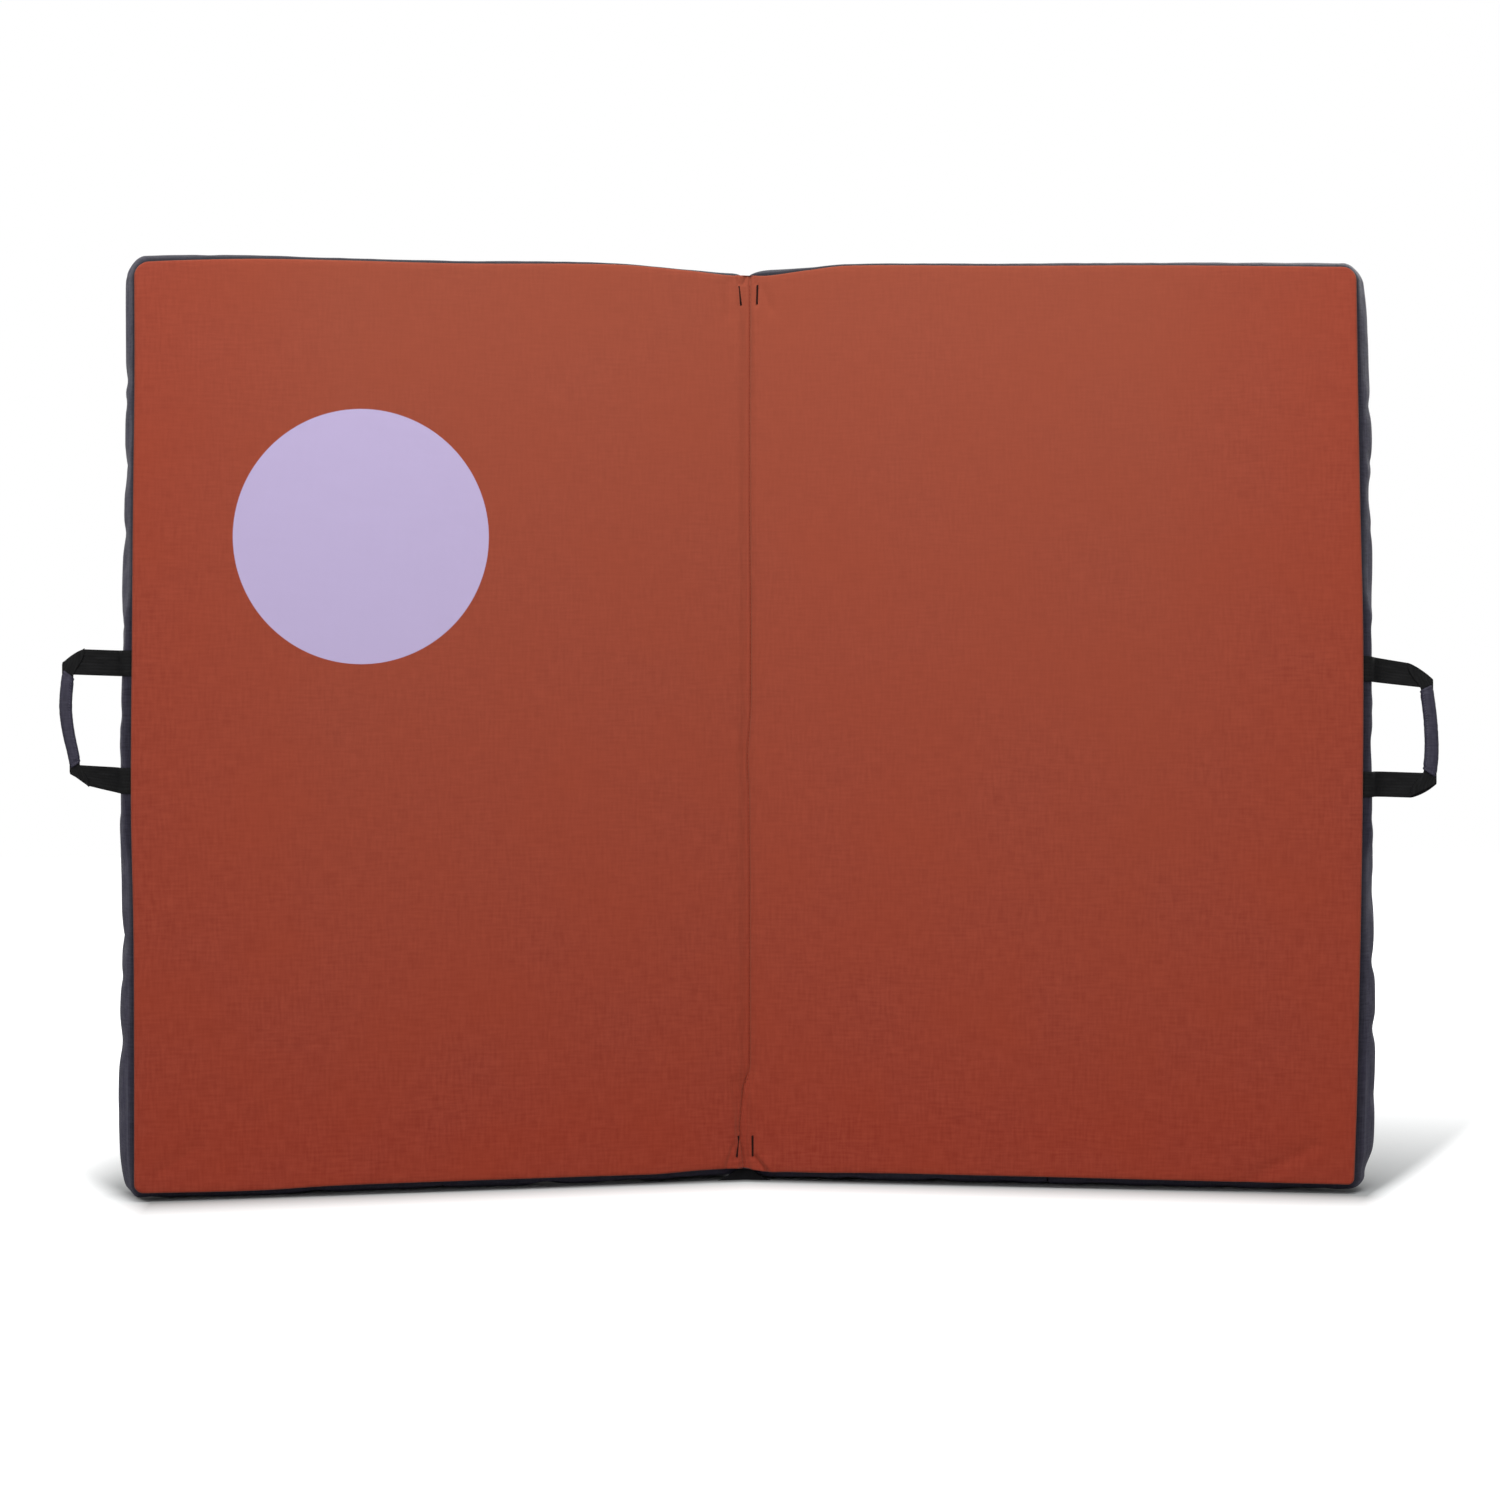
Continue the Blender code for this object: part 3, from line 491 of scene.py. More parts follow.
# How the sewn edges wander, as (share of the edge, millimetres)
wander = {
    "outer": {
        -1: ((0, 0), (0.14, 0), (0.28, 0.6), (0.42, 3.0), (0.60, 2.0), (0.74, 1.0), (0.88, -0.4), (1, 0)),
        1: (
            (0, -2.3), (0.05, -0.6), (0.10, 0.8), (0.30, 4.6), (0.45, 6.4), (0.60, 6.6), (0.75, 3.6),
            (0.90, 1.2), (1, 0),
        ),
    },
    "top": {
        -1: (
            (0, 0.6), (0.03, 0.4), (0.10, 4.2), (0.22, 8.2), (0.48, 5.3), (0.68, 5.4),
            (0.81, 4.6), (0.93, 1.4), (1, -1.5),
        ),
        1: ((0, 0.6), (0.036, 0), (0.10, 4.6), (0.17, 8.8), (0.43, 6.3), (0.69, 4.4), (0.90, 1.5), (1, 0)),
    },
    "foot": {
        -1: (
            (0, -1.6), (0.03, -1), (0.10, 0.9), (0.22, 1.3), (0.48, 1.1), (0.68, 0.4),
            (0.81, -1.8), (1, -0.8),
        ),
        1: ((0, -1.6), (0.036, -3.8), (0.08, -1.5), (0.168, 1.8), (0.43, 1.7), (0.69, 0.7), (1, -0.4)),
    },
    "footPull": 0.0060, "pullReach": 0.100, "edgeHold": 4, "baseShare": 0.7,
}


# A smooth curve through a table's points
def follow(table, share):
    step = 0
    while step < len(table) - 2 and share > table[step + 1][0]:
        step += 1
    start, end = table[step], table[step + 1]
    before, after = table[max(step - 1, 0)], table[min(step + 2, len(table) - 1)]
    span = end[0] - start[0]
    place = clamped((share - start[0]) / span)
    leave = (end[1] - before[1]) / (end[0] - before[0]) * span
    arrive = (after[1] - start[1]) / (after[0] - start[0]) * span
    square, cube = place ** 2, place ** 3
    return (
        (2 * cube - 3 * square + 1) * start[1] + (cube - 2 * square + place) * leave
        + (3 * square - 2 * cube) * end[1] + (cube - square) * arrive
    )


# How far the wander moves a point of the landing seams: out and up, with v from -1 to 1
def seamShift(side, u, v):
    share = clamped(u / panel["width"])
    out = follow(wander["outer"][side], (v + 1) / 2) * smoothStep(share)
    up = follow(wander["top" if v > 0 else "foot"][side], share) * abs(v) ** wander["edgeHold"]
    beside = abs(side * u - follow(foldLine, middleZ + v * panel["height"] / 2))
    pull = wander["footPull"] * (1 - smoothStep(beside / wander["pullReach"])) * max(-v, 0)
    return out / 1000, up / 1000 + pull


landing = {
    "steps": (270, 176), "bunch": 0.84, "waves": 0.00035, "waveScale": 6.5, "proud": 0.0009,
    "deepest": 0.0016,
}
# Where the fold's seam runs, as (height, place across)
foldLine = (
    (0, -0.0010), (0.016, -0.0012), (0.027, -0.0024), (0.048, -0.0044), (0.063, -0.0038), (0.080, -0.0026),
    (0.094, -0.0010), (0.108, 0.0032), (0.140, 0.0038), (0.38, 0.0032), (0.42, 0.0018), (0.47, 0.0044),
    (0.54, 0.0048), (0.70, 0.0038), (0.904, 0.0040),
)
tack = {"pitch": 0.0008, "radius": 0.00058, "wide": 0.0024, "dimple": 0.0006, "dimpleHalf": 0.0024}
# Each bar tack: side, distance from the fold and height of its upper end, and of its lower end
tacks = (
    (-1, 0.0063, 0.8935, 0.0043, 0.8745), (1, 0.0118, 0.8945, 0.0114, 0.8755),
    (-1, 0.0063, 0.0470, 0.0085, 0.0262), (1, 0.0070, 0.0475, 0.0070, 0.0270),
)
# Each crease, most of them beside the fold's ends: start, end, depth and half width
creases = (
    ((0.0100, 0.0262), (0.0215, 0.0110), 0.0020, 0.0016),
    ((0.0165, 0.0250), (0.0270, 0.0110), -0.0012, 0.0028),
    ((-0.0125, 0.0370), (-0.0190, 0.0150), 0.0017, 0.0016),
    ((-0.0075, 0.0200), (-0.0045, 0.0080), -0.0012, 0.0030),
    ((0.0060, 0.0220), (0.0080, 0.0120), -0.0012, 0.0028),
    ((-0.0115, 0.1000), (-0.0060, 0.0480), 0.0018, 0.0040),
    ((0.0065, 0.0900), (0.0040, 0.0300), -0.0010, 0.0026),
    ((0.0085, 0.8700), (0.0095, 0.7900), -0.0010, 0.0030),
    ((-0.0062, 0.8950), (-0.0120, 0.9060), 0.0018, 0.0016),
    ((-0.0015, 0.8960), (0.0015, 0.9060), 0.0015, 0.0014),
    ((0.0105, 0.8960), (0.0145, 0.9060), 0.0010, 0.0016),
    ((0.0175, 0.8900), (0.0250, 0.8700), 0.0010, 0.0045),
    ((-0.0185, 0.8950), (-0.0165, 0.8650), 0.0011, 0.0055),
    ((-0.0060, 0.8600), (0.0000, 0.8000), -0.0006, 0.0040),
    ((-0.540, 0.052), (-0.575, 0.030), 0.0010, 0.0060), ((0.500, 0.014), (0.560, 0.046), 0.0014, 0.0080),
)


def creaseDepth(x, z):
    depth = 0
    for start, end, deep, half in creases:
        along, up = end[0] - start[0], end[1] - start[1]
        if abs(x - start[0]) > abs(along) + half * 3 or abs(z - start[1]) > abs(up) + half * 3:
            continue
        near = clamped(((x - start[0]) * along + (z - start[1]) * up) / (along ** 2 + up ** 2))
        depth += deep * exp(-(hypot(x - start[0] - along * near, z - start[1] - up * near) / half) ** 2)
    return depth


def tackDepth(x, z):
    depth = 0
    for side, u, high, endU, low in tacks:
        share = clamped((high - z) / (high - low))
        off = hypot(x - side * mix(u, endU, share), z - mix(high, low, share))
        depth += tack["dimple"] * exp(-(off / tack["dimpleHalf"]) ** 2)
    return depth


def landingShape(a, b):
    endU, endV = panel["width"] + rollSlack, panel["height"] / 2 + rollSlack
    across, up = bunched(2 * a - 1, -landing["bunch"], 2), bunched(2 * b - 1, landing["bunch"])
    side, sideV = signOf(across), signOf(up)
    corner = panel["corners"][side, "top" if up > 0 else "foot"]
    u, v, lift, crown = sewnPoint(abs(across) * endU, abs(up) * endV, endU, endV, corner)
    # The rows of cloth beside the fold follow its seam
    x = side * u + follow(foldLine, middleZ + sideV * v) * (1 - smoothStep(u / face["seamReach"]))
    fromSeam, side, u = u, signOf(x), abs(x)
    rise = sin(pi / 2 * clamped((max(u, fromSeam) - face["foldBand"]) / face["foldReach"]))
    depth = panel["landingSeam"] - panel["landingFace"] - face["roll"]
    t = panel["landingSeam"] - (lift + depth * crown) * rise
    t -= face["groove"] * smoothStep(fromSeam / face["grooveHalf"])
    t -= face["valley"] * smoothStep(fromSeam / face["valleyHalf"])
    wave = noise.noise(Vector((x, 0, sideV * v)) * landing["waveScale"])
    t = max(t, panel["landingFace"]) + landing["waves"] * (wave + 1) * crown * rise
    shiftOut, shiftUp = seamShift(side, u, sideV * v * 2 / panel["height"])
    z = middleZ + sideV * v + shiftUp
    t += min(creaseDepth(x, z) + tackDepth(x, z), landing["deepest"]) - landing["proud"] * (1 - rise)
    return panelPoint(side, u + shiftOut, t, z, panel["lean"] * smoothStep(u / face["foldTurn"])), (x, z)


landingCover = finishPiece(clothGrid(*landing["steps"], landingShape), "landing_cover", "rustCloth")
thicken(landingCover, face["thickness"])
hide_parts("left_landing_cover", "right_landing_cover", "fold_hinge_fabric")
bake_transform(landingCover)
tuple(foldStart)
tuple(foldEnd)
print("landing cover:", len(landingCover.data.polygons))


base = {"steps": (90, 120), "bunch": 0.6, "waves": 0.0004, "waveScale": 7}


def baseShape(side):
    centreU = (panel["width"] + panel["foldGap"]) / 2
    endU = (panel["width"] - panel["foldGap"]) / 2 + rollSlack
    endV = panel["height"] / 2 + rollSlack
    depth = panel["baseFace"] - panel["baseSeam"] - face["roll"]

    def shape(a, b):
        across, up = -side * bunched(2 * a - 1, base["bunch"]), bunched(2 * b - 1, base["bunch"])
        end = "top" if up > 0 else "foot"
        corner = panel["corners"][side, end] if across > 0 else panel["foldCorners"][end]
        u, v, lift, crown = sewnPoint(abs(across) * endU, abs(up) * endV, endU, endV, corner)
        u, z = centreU + signOf(across) * u, middleZ + signOf(up) * v
        wave = noise.noise(Vector((side * u, 3, z)) * base["waveScale"])
        t = panel["baseSeam"] + lift + depth * crown - base["waves"] * (wave + 1) * crown
        shiftOut = seamShift(side, u, (z - middleZ) * 2 / panel["height"])[0]
        return panelPoint(side, u + shiftOut * wander["baseShare"], t, z), (side * u, z)

    return shape


for hand, side in panel["sides"].items():
    cover = finishPiece(clothGrid(*base["steps"], baseShape(side)), f"{hand}_base", "baseCloth")
    thicken(cover, face["thickness"])
    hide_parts(f"{hand}_base_cover")
    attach(cover, f"{hand}_panel")
print("base covers made")


# Side bands, seam to seam
band = {
    "steps": (430, 16), "front": 0.0072, "back": 0.0848, "clothDepth": 0.09, "tuck": 0.0012,
    "tuckSpeed": 40,
    "thickness": 0.0010, "fullness": 0.62, "ripple": 0.0012, "rippleFrom": 0.08, "cornerSteps": 5,
    "topTaut": 0.75, "weld": 0.00005,
}


# (u, v, direction, length) at a share of the way round a panel, from the middle of its foot
def outlineShare(side, share):
    halfU, halfV = (panel["width"] - panel["foldGap"]) / 2, panel["height"] / 2
    foot, top = panel["corners"][side, "foot"], panel["corners"][side, "top"]
    foldFoot, foldTop = panel["foldCorners"]["foot"], panel["foldCorners"]["top"]
    # Each run: length, start or centre, heading or None round a corner, direction out and radius
    runs = [
        (halfU - foot, (0, -halfV), (1, 0), -pi / 2, foot),
        (foot * pi / 2, (halfU - foot, foot - halfV), None, -pi / 2, foot),
        (2 * halfV - foot - top, (halfU, foot - halfV), (0, 1), 0, top),
        (top * pi / 2, (halfU - top, halfV - top), None, 0, top),
        (2 * halfU - top - foldTop, (halfU - top, halfV), (-1, 0), pi / 2, foldTop),
        (foldTop * pi / 2, (foldTop - halfU, halfV - foldTop), None, pi / 2, foldTop),
        (2 * halfV - foldTop - foldFoot, (-halfU, halfV - foldTop), (0, -1), pi, foldTop),
        (foldFoot * pi / 2, (foldFoot - halfU, foldFoot - halfV), None, pi, foldFoot),
        (halfU - foldFoot, (foldFoot - halfU, -halfV), (1, 0), 1.5 * pi, foldFoot),
    ]
    # The corners get more of the steps than their length asks for
    weights = [run[0] * (1 if run[2] else band["cornerSteps"]) for run in runs]
    left = share * sum(weights)
    step = 0
    while step < len(runs) - 1 and left > weights[step]:
        left -= weights[step]
        step += 1
    own, start, heading, out, radius = runs[step]
    left *= own / weights[step]
    if heading:
        u, v = start[0] + heading[0] * left, start[1] + heading[1] * left
    else:
        out += left / radius
        u, v = start[0] + radius * cos(out), start[1] + radius * sin(out)
    return u + halfU + panel["foldGap"], v, out, sum(run[0] for run in runs[:step]) + left


# How far the side bands swell, as (share of the edge, millimetres)
swell = {
    "outer": {
        -1: (
            (0, 6), (0.04, 10), (0.12, 11), (0.25, 8), (0.38, 8), (0.5, 9), (0.65, 6.3),
            (0.8, 4.8), (0.93, 5), (1, 4),
        ),
        1: (
            (0, 12), (0.010, 13.0), (0.019, 14.4), (0.033, 17.4), (0.05, 17.6), (0.14, 17.4), (0.21, 16.0),
            (0.32, 12.5), (0.5, 9.5), (0.62, 10), (0.75, 12.5), (0.86, 12.5), (0.95, 10), (1, 6),
        ),
    },
    "top": {
        -1: (
            (0, 6), (0.04, 6.2), (0.075, 6), (0.10, 5.4), (0.14, 5.8), (0.3, 8), (0.7, 8),
            (0.9, 9.5), (1, 9.5),
        ),
        1: ((0, 4), (0.012, 8), (0.03, 10), (0.06, 9.5), (0.12, 8), (0.3, 8), (0.8, 8), (1, 8)),
    },
    "foot": ((0, 9.5), (0.10, 10), (1, 10)),
    "handleReach": 0.100, "handleFade": 0.035, "handleLean": 0.55, "handleFront": 1.25, "handleFall": 0.55,
}


# Fullness of the side band across its depth. Beside a handle it falls away to the back
def swellProfile(depth, z):
    even = arch(depth, band["fullness"])
    forward = arch(depth ** swell["handleLean"], band["fullness"])
    near = 1 - smoothStep((abs(z - middleZ) - swell["handleReach"]) / swell["handleFade"])
    return mix(even, forward * min(1, swell["handleFront"] - swell["handleFall"] * depth), near)


def offFloor(z):
    return max(z, panel["floorGap"])


# (u, t, z) of the side band's cloth at an outline point and a share of its depth
def bandPoint(side, u, v, out, depth):
    share = clamped(u / panel["width"])
    outward, upward, downward = max(cos(out), 0), max(sin(out), 0), max(-sin(out), 0)
    size = outward ** 2 * follow(swell["outer"][side], v / panel["height"] + 0.5)
    size += upward ** 2 * follow(swell["top"][side], share)
    size += downward ** 2 * follow(swell["foot"], share)
    tuck = band["tuck"] * (exp(-depth * band["tuckSpeed"]) + exp(-(1 - depth) * band["tuckSpeed"]))
    profile = swellProfile(depth, middleZ + v) if outward > 0.5 else arch(depth, band["fullness"])
    moved = size / 1000 * profile - tuck
    shiftOut, shiftUp = seamShift(side, u, 2 * v / panel["height"])
    z = middleZ + v + moved * sin(out) + shiftUp * (1 - depth)
    u += moved * cos(out) + shiftOut * mix(1, wander["baseShare"], depth)
    return max(u, panel["foldGap"] / 2), mix(band["front"], band["back"], depth), offFloor(z)


def bandShape(side):
    def shape(a, b):
        depth = 1 - b if side > 0 else b
        u, v, out, length = outlineShare(side, a)
        ripple = noise.noise(Vector((length * 16, depth * 2.2, side * 5)))
        lift = band["ripple"] * ripple * arch(depth)
        placeU, t, z = bandPoint(side, u, v, out, depth)
        lift *= smoothStep(u / band["rippleFrom"]) * (1 - band["topTaut"] * max(sin(out), 0))
        point = panelPoint(side, placeU + lift * cos(out), t, offFloor(z + lift * sin(out)))
        return point, (length, depth * band["clothDepth"])

    return shape


# The bands are sewn in with some slack, and the foam pushes them out
drape = {
    "frames": 24, "quality": 6, "mass": 0.12, "tension": 12, "bending": 0.08, "slack": 0.022,
    "pressure": 2.4,
    "out": 0.0015, "in": 0.0014, "seamShare": 0.01, "looseFrom": 0.9, "foldStill": 0.030, "foldFree": 0.090,
    "legFrom": 0.02, "legReach": 0.0165, "legFree": 0.018, "legMiddle": 0.0565,
}


# How free the band's cloth is at a place: not beside the fold, nor under the handle's webbing
def looseShare(side, point):
    u = side * point.x * cos(panel["lean"]) - point.y * sin(panel["lean"])
    share = smoothStep((u - drape["foldStill"]) / (drape["foldFree"] - drape["foldStill"]))
    if u > panel["width"] - drape["legFrom"]:
        for sign in (-1, 1):
            beside = abs(point.z - middleZ - sign * drape["legMiddle"]) - drape["legReach"]
            share *= smoothStep(beside / drape["legFree"])
    return share


# Runs the cloth with its seams pinned, and keeps its wrinkles, capped
def settle(piece, side):
    mesh, scene = piece.data, bpy.context.scene
    rest = [vert.co.copy() for vert in mesh.vertices]
    normals = [vert.normal.copy() for vert in mesh.vertices]
    free = [looseShare(side, point) for point in rest]
    uvs = mesh.uv_layers["cloth"].data
    depths = {loop.vertex_index: uvs[loop.index].uv.y / band["clothDepth"] for loop in mesh.loops}
    pinned = piece.vertex_groups.new(name="sewn")
    for index, share in enumerate(free):
        seam = min(depths[index], 1 - depths[index]) < drape["seamShare"]
        pinned.add([index], 1 if seam else 1 - share, "REPLACE")
    cloth = piece.modifiers.new("settle", "CLOTH")
    settings = cloth.settings
    settings.quality = drape["quality"]
    settings.mass = drape["mass"]
    settings.tension_stiffness = settings.compression_stiffness = drape["tension"]
    settings.bending_stiffness = drape["bending"]
    settings.shrink_min = -drape["slack"]
    settings.use_pressure = True
    settings.uniform_pressure_force = drape["pressure"]
    settings.vertex_group_mass = "sewn"
    settings.effector_weights.gravity = 0
    cloth.collision_settings.use_collision = False
    cloth.point_cache.frame_end = drape["frames"]
    for step in range(1, drape["frames"] + 1):
        scene.frame_set(step)
    settled = piece.evaluated_get(bpy.context.evaluated_depsgraph_get()).data
    lifts = [(settled.vertices[index].co - point).dot(normals[index]) for index, point in enumerate(rest)]
    piece.modifiers.remove(cloth)
    piece.vertex_groups.remove(pinned)
    scene.frame_set(1)
    # The middle of the swelling stays as drawn
    loose = [lift for lift, share in zip(lifts, free) if share > drape["looseFrom"]]
    middle = sum(loose) / max(len(loose), 1)
    print(f"{piece.name}: lifts {min(lifts):.4f} to {max(lifts):.4f}, mean {middle:.4f}")
    for index, point in enumerate(rest):
        share = free[index] * arch(clamped(depths[index])) * (1 - band["topTaut"] * max(normals[index].z, 0))
        place = point + normals[index] * clamped(lifts[index] - middle, -drape["in"], drape["out"]) * share
        mesh.vertices[index].co = (place.x, place.y, offFloor(place.z))
    mesh.update()


for hand, side in panel["sides"].items():
    bm = clothGrid(*band["steps"], bandShape(side))
    bmesh.ops.remove_doubles(bm, verts=bm.verts, dist=band["weld"])
    gusset = finishPiece(bm, f"{hand}_gusset", "bandCloth")
    settle(gusset, side)
    thicken(gusset, band["thickness"])
    smoother = gusset.modifiers.new("smoother", "SUBSURF")
    smoother.levels = smoother.render_levels = 1
    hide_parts(f"{hand}_side_gusset")
    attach(gusset, f"{hand}_panel")
print("side bands made")


# Webbing: a flat band with rounded edges along a route
webbing = {
    "width": 0.025, "thickness": 0.0016, "around": 16, "edgeSteps": 4, "step": 0.0016, "passes": 2,
    "gap": 0.0003, "layerGap": 0.0004, "cutReach": 0.030, "weld": 0.00001,
}
halfWidth, halfThick = webbing["width"] / 2, webbing["thickness"] / 2


# The route's corners at an even step, rounded by averaging
def rounded(route, step=webbing["step"], passes=webbing["passes"]):
    points = []
    for start, end in zip(route, route[1:]):
        start, end = Vector(start), Vector(end)
        count = max(int((end - start).length / step), 1)
        points += [start.lerp(end, index / count) for index in range(count)]
    points.append(Vector(route[-1]))
    for _ in range(passes):
        trios = zip(points, points[1:], points[2:])
        inner = [(before + point * 2 + after) / 4 for before, point, after in trios]
        points = [points[0]] + inner + [points[-1]]
    return points


# (across, depth) at a step round a flat band with round edges
def bandSection(step, around, halfWidth, halfThick):
    flat = around // 2 - webbing["edgeSteps"]
    sign = 1 if step < around // 2 else -1
    step %= around // 2
    inner = halfWidth - halfThick
    if step <= flat:
        return sign * inner * (1 - 2 * step / flat), sign * halfThick
    turn = pi * (step - flat) / webbing["edgeSteps"]
    return -sign * (inner + halfThick * sin(turn)), sign * halfThick * cos(turn)


# A closed band: points are (along, level), and place puts (along, level, across) in the pad.
# cutEnd gives how much shorter the band is at a place across it
def bandAlong(
    points, place, bm=None, halfWidth=halfWidth, halfThick=halfThick, cutEnd=None, around=webbing["around"],
):
    bm = bm or newCloth()
    lengths = [0]
    for start, end in zip(points, points[1:]):
        lengths.append(lengths[-1] + (end - start).length)
    steps = len(points) - 1

    def shape(a, b):
        index = min(round(a * steps), steps)
        heading = (points[min(index + 1, steps)] - points[max(index - 1, 0)]).normalized()
        across, depth = bandSection(round(b * around) % around, around, halfWidth, halfThick)
        point = points[index] + Vector((-heading.y, heading.x)) * depth
        along = lengths[index]
        if cutEnd:
            cut = cutEnd(across) * max(along - lengths[-1] + webbing["cutReach"], 0) / webbing["cutReach"]
            point -= heading * cut
            along -= cut
        return place(point.x, point.y, across), (along, across)

    made, _ = addGrid(bm, steps, around, shape)
    bmesh.ops.remove_doubles(bm, verts=made, dist=webbing["weld"])
    bmesh.ops.holes_fill(bm, edges=[edge for edge in bm.edges if edge.is_boundary], sides=0)
    return bm


# Places on a base face, from (along, level, across): with along out from middleU, or up from low
def alongFace(side, middleU, facing, z):
    def place(along, level, across):
        return panelPoint(side, middleU + facing * along, panel["restLevel"] + level, z + across)

    return place


def upFace(middleU, low=0):
    def place(along, level, across):
        return panelPoint(-1, middleU + across, panel["restLevel"] + level, low + along)

    return place


strap = {
    "patch": 0.045, "riseFrom": 0.007, "riseTo": 0.001, "riseRun": 0.030, "eyeLead": 0.014,
    "keeperWall": 0.0015, "keeperSetback": 0.034, "tail": 0.012, "barWide": 0.005, "barThick": 0.004,
    "barGap": 0.0005, "eyeTop": radians(125), "eyeFoot": radians(-115), "eyeSteps": 14, "blendHalf": 0.007,
}
pivotLevel = webbing["thickness"] + webbing["gap"] + halfThick
backLevel = strap["keeperWall"] + webbing["gap"] + halfThick
mainLevel = backLevel + webbing["thickness"] + webbing["layerGap"]
eyeRadius = hypot(strap["barWide"], strap["barThick"]) / 2 + strap["barGap"] + halfThick
eyeLevel = eyeRadius + halfThick


# From the sewn patch, over the pivot, round the bar at reach and back: (along, level)
def strapRoute(reach, levelRun):
    route = [(-strap["patch"], halfThick), (-strap["riseFrom"], halfThick), (strap["riseTo"], pivotLevel)]
    route += [(levelRun, pivotLevel), (levelRun + strap["riseRun"], mainLevel)]
    route.append((reach - strap["eyeLead"], mainLevel))
    for step in range(strap["eyeSteps"] + 1):
        angle = mix(strap["eyeTop"], strap["eyeFoot"], step / strap["eyeSteps"])
        route.append((reach + eyeRadius * cos(angle), eyeLevel + eyeRadius * sin(angle)))
    route.append((reach - strap["eyeLead"], backLevel))
    route.append((reach - strap["keeperSetback"] - strap["tail"], backLevel))
    return route


closure = {"pivotU": 0.5, "reach": 0.345, "levelRun": 0.1295, "heights": {"lower": 0.137, "upper": 0.777}}
belt = {"centreU": 0.306, "spread": 0.050, "reach": 0.150, "levelRun": 0.030, "z": 0.200}
strapPlaces = {
    f"{part}_closure": (alongFace(1, closure["pivotU"], -1, z), closure, "right_panel")
    for part, z in closure["heights"].items()
}
for part, facing in (("inner", -1), ("outer", 1)):
    place = alongFace(-1, belt["centreU"] + facing * belt["spread"], facing, belt["z"])
    strapPlaces[f"{part}_belt"] = (place, belt, "left_panel")
for name, (place, sizes, body) in strapPlaces.items():
    bm = bandAlong(rounded(strapRoute(sizes["reach"], sizes["levelRun"])), place)
    piece = finishPiece(bm, f"{name}_strap", "blackWebbing")
    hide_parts(f"{name}_anchor", f"{name}_webbing")
    ends = [place(sign * strap["blendHalf"], pivotLevel, 0) for sign in (-1, 1)]
    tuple(ends[0])
    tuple(ends[1])
    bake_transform(piece)
print("closure straps and belts made")


# Loops that the closure hooks catch
loop = {"span": 0.034, "height": 0.010, "foot": 0.014, "lead": 0.0015, "fullness": 0.8, "steps": 24}
loopPlaces = {part: alongFace(-1, closure["pivotU"], 1, z) for part, z in closure["heights"].items()}


def loopRoute():
    half = loop["span"] / 2
    route = [(-half - loop["foot"], halfThick), (-half - loop["lead"], halfThick)]
    for step in range(1, loop["steps"]):
        turn = pi - pi * step / loop["steps"]
        route.append((half * cos(turn), halfThick + loop["height"] * sin(turn) ** loop["fullness"]))
    return route + [(half + loop["lead"], halfThick), (half + loop["foot"], halfThick)]


for part, place in loopPlaces.items():
    piece = finishPiece(bandAlong(rounded(loopRoute()), place), f"{part}_loop", "blackWebbing")
    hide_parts(f"{part}_closure_loop")
    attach(piece, "left_panel")
print("closure loops made")


# Shoulder straps
shoulder = {
    "head": 0.730, "length": 0.360, "halfWidth": 0.034, "endHalfWidth": 0.0145, "thick": 0.0148,
    "endThick": 0.005, "headSpread": 0.060, "footSpread": 0.095, "bow": 0.016, "taper": 0.28,
    "headFill": 0.08, "footFill": 0.12, "steps": (48, 150), "binding": 0.0075, "bindingShare": 0.72,
    "tapeThick": 0.0006, "edge": 0.0035, "crownShare": 0.75, "seamDip": 0.0013, "seamAside": 0.0012,
    "seamHalf": 0.0022, "tapeSoft": 0.0010, "puff": 0.0006, "rim": 0.0018, "rimLevel": 0.0003,
}
outwardSigns = {"inner": -1, "outer": 1}


def shoulderShare(z):
    return (shoulder["head"] - z) / shoulder["length"]


# Spread, half width and thickness at a share of the strap's length from its head
def shoulderSection(share):
    spread = mix(shoulder["headSpread"], shoulder["footSpread"], share) + shoulder["bow"] * sin(pi * share)
    left = 1 - share
    half = mix(shoulder["halfWidth"], shoulder["endHalfWidth"], 1 - smoothStep(left / shoulder["taper"]))
    fill = min(smoothStep(share / shoulder["headFill"]), smoothStep(left / shoulder["footFill"]))
    return spread, half, mix(shoulder["endThick"], shoulder["thick"], fill)


# Height of a strap's face, edge in from its rim and aside from its middle
def shoulderLevel(outwards, share, edge, aside):
    _, half, thick = shoulderSection(share)
    rise = sin(pi / 2 * min(edge / (half * shoulder["crownShare"]), 1)) ** 0.8
    full = min(thick / shoulder["thick"], 1)
    inside = edge - shoulder["binding"]
    level = mix(shoulder["edge"], thick, rise)
    fromSeam = (inside - shoulder["seamAside"]) / shoulder["seamHalf"]
    level -= shoulder["seamDip"] * exp(-fromSeam ** 2) * full
    tape = 1 - smoothStep((inside + shoulder["tapeThick"]) / shoulder["tapeSoft"])
    level += shoulder["tapeThick"] * tape * full
    level += shoulder["puff"] * noise.noise(Vector((aside * 40, share * 16, outwards * 3))) * rise * full
    if edge < shoulder["rim"]:
        level = min(level, mix(shoulder["rimLevel"], shoulder["edge"], (edge / shoulder["rim"]) ** 0.5))
    return level


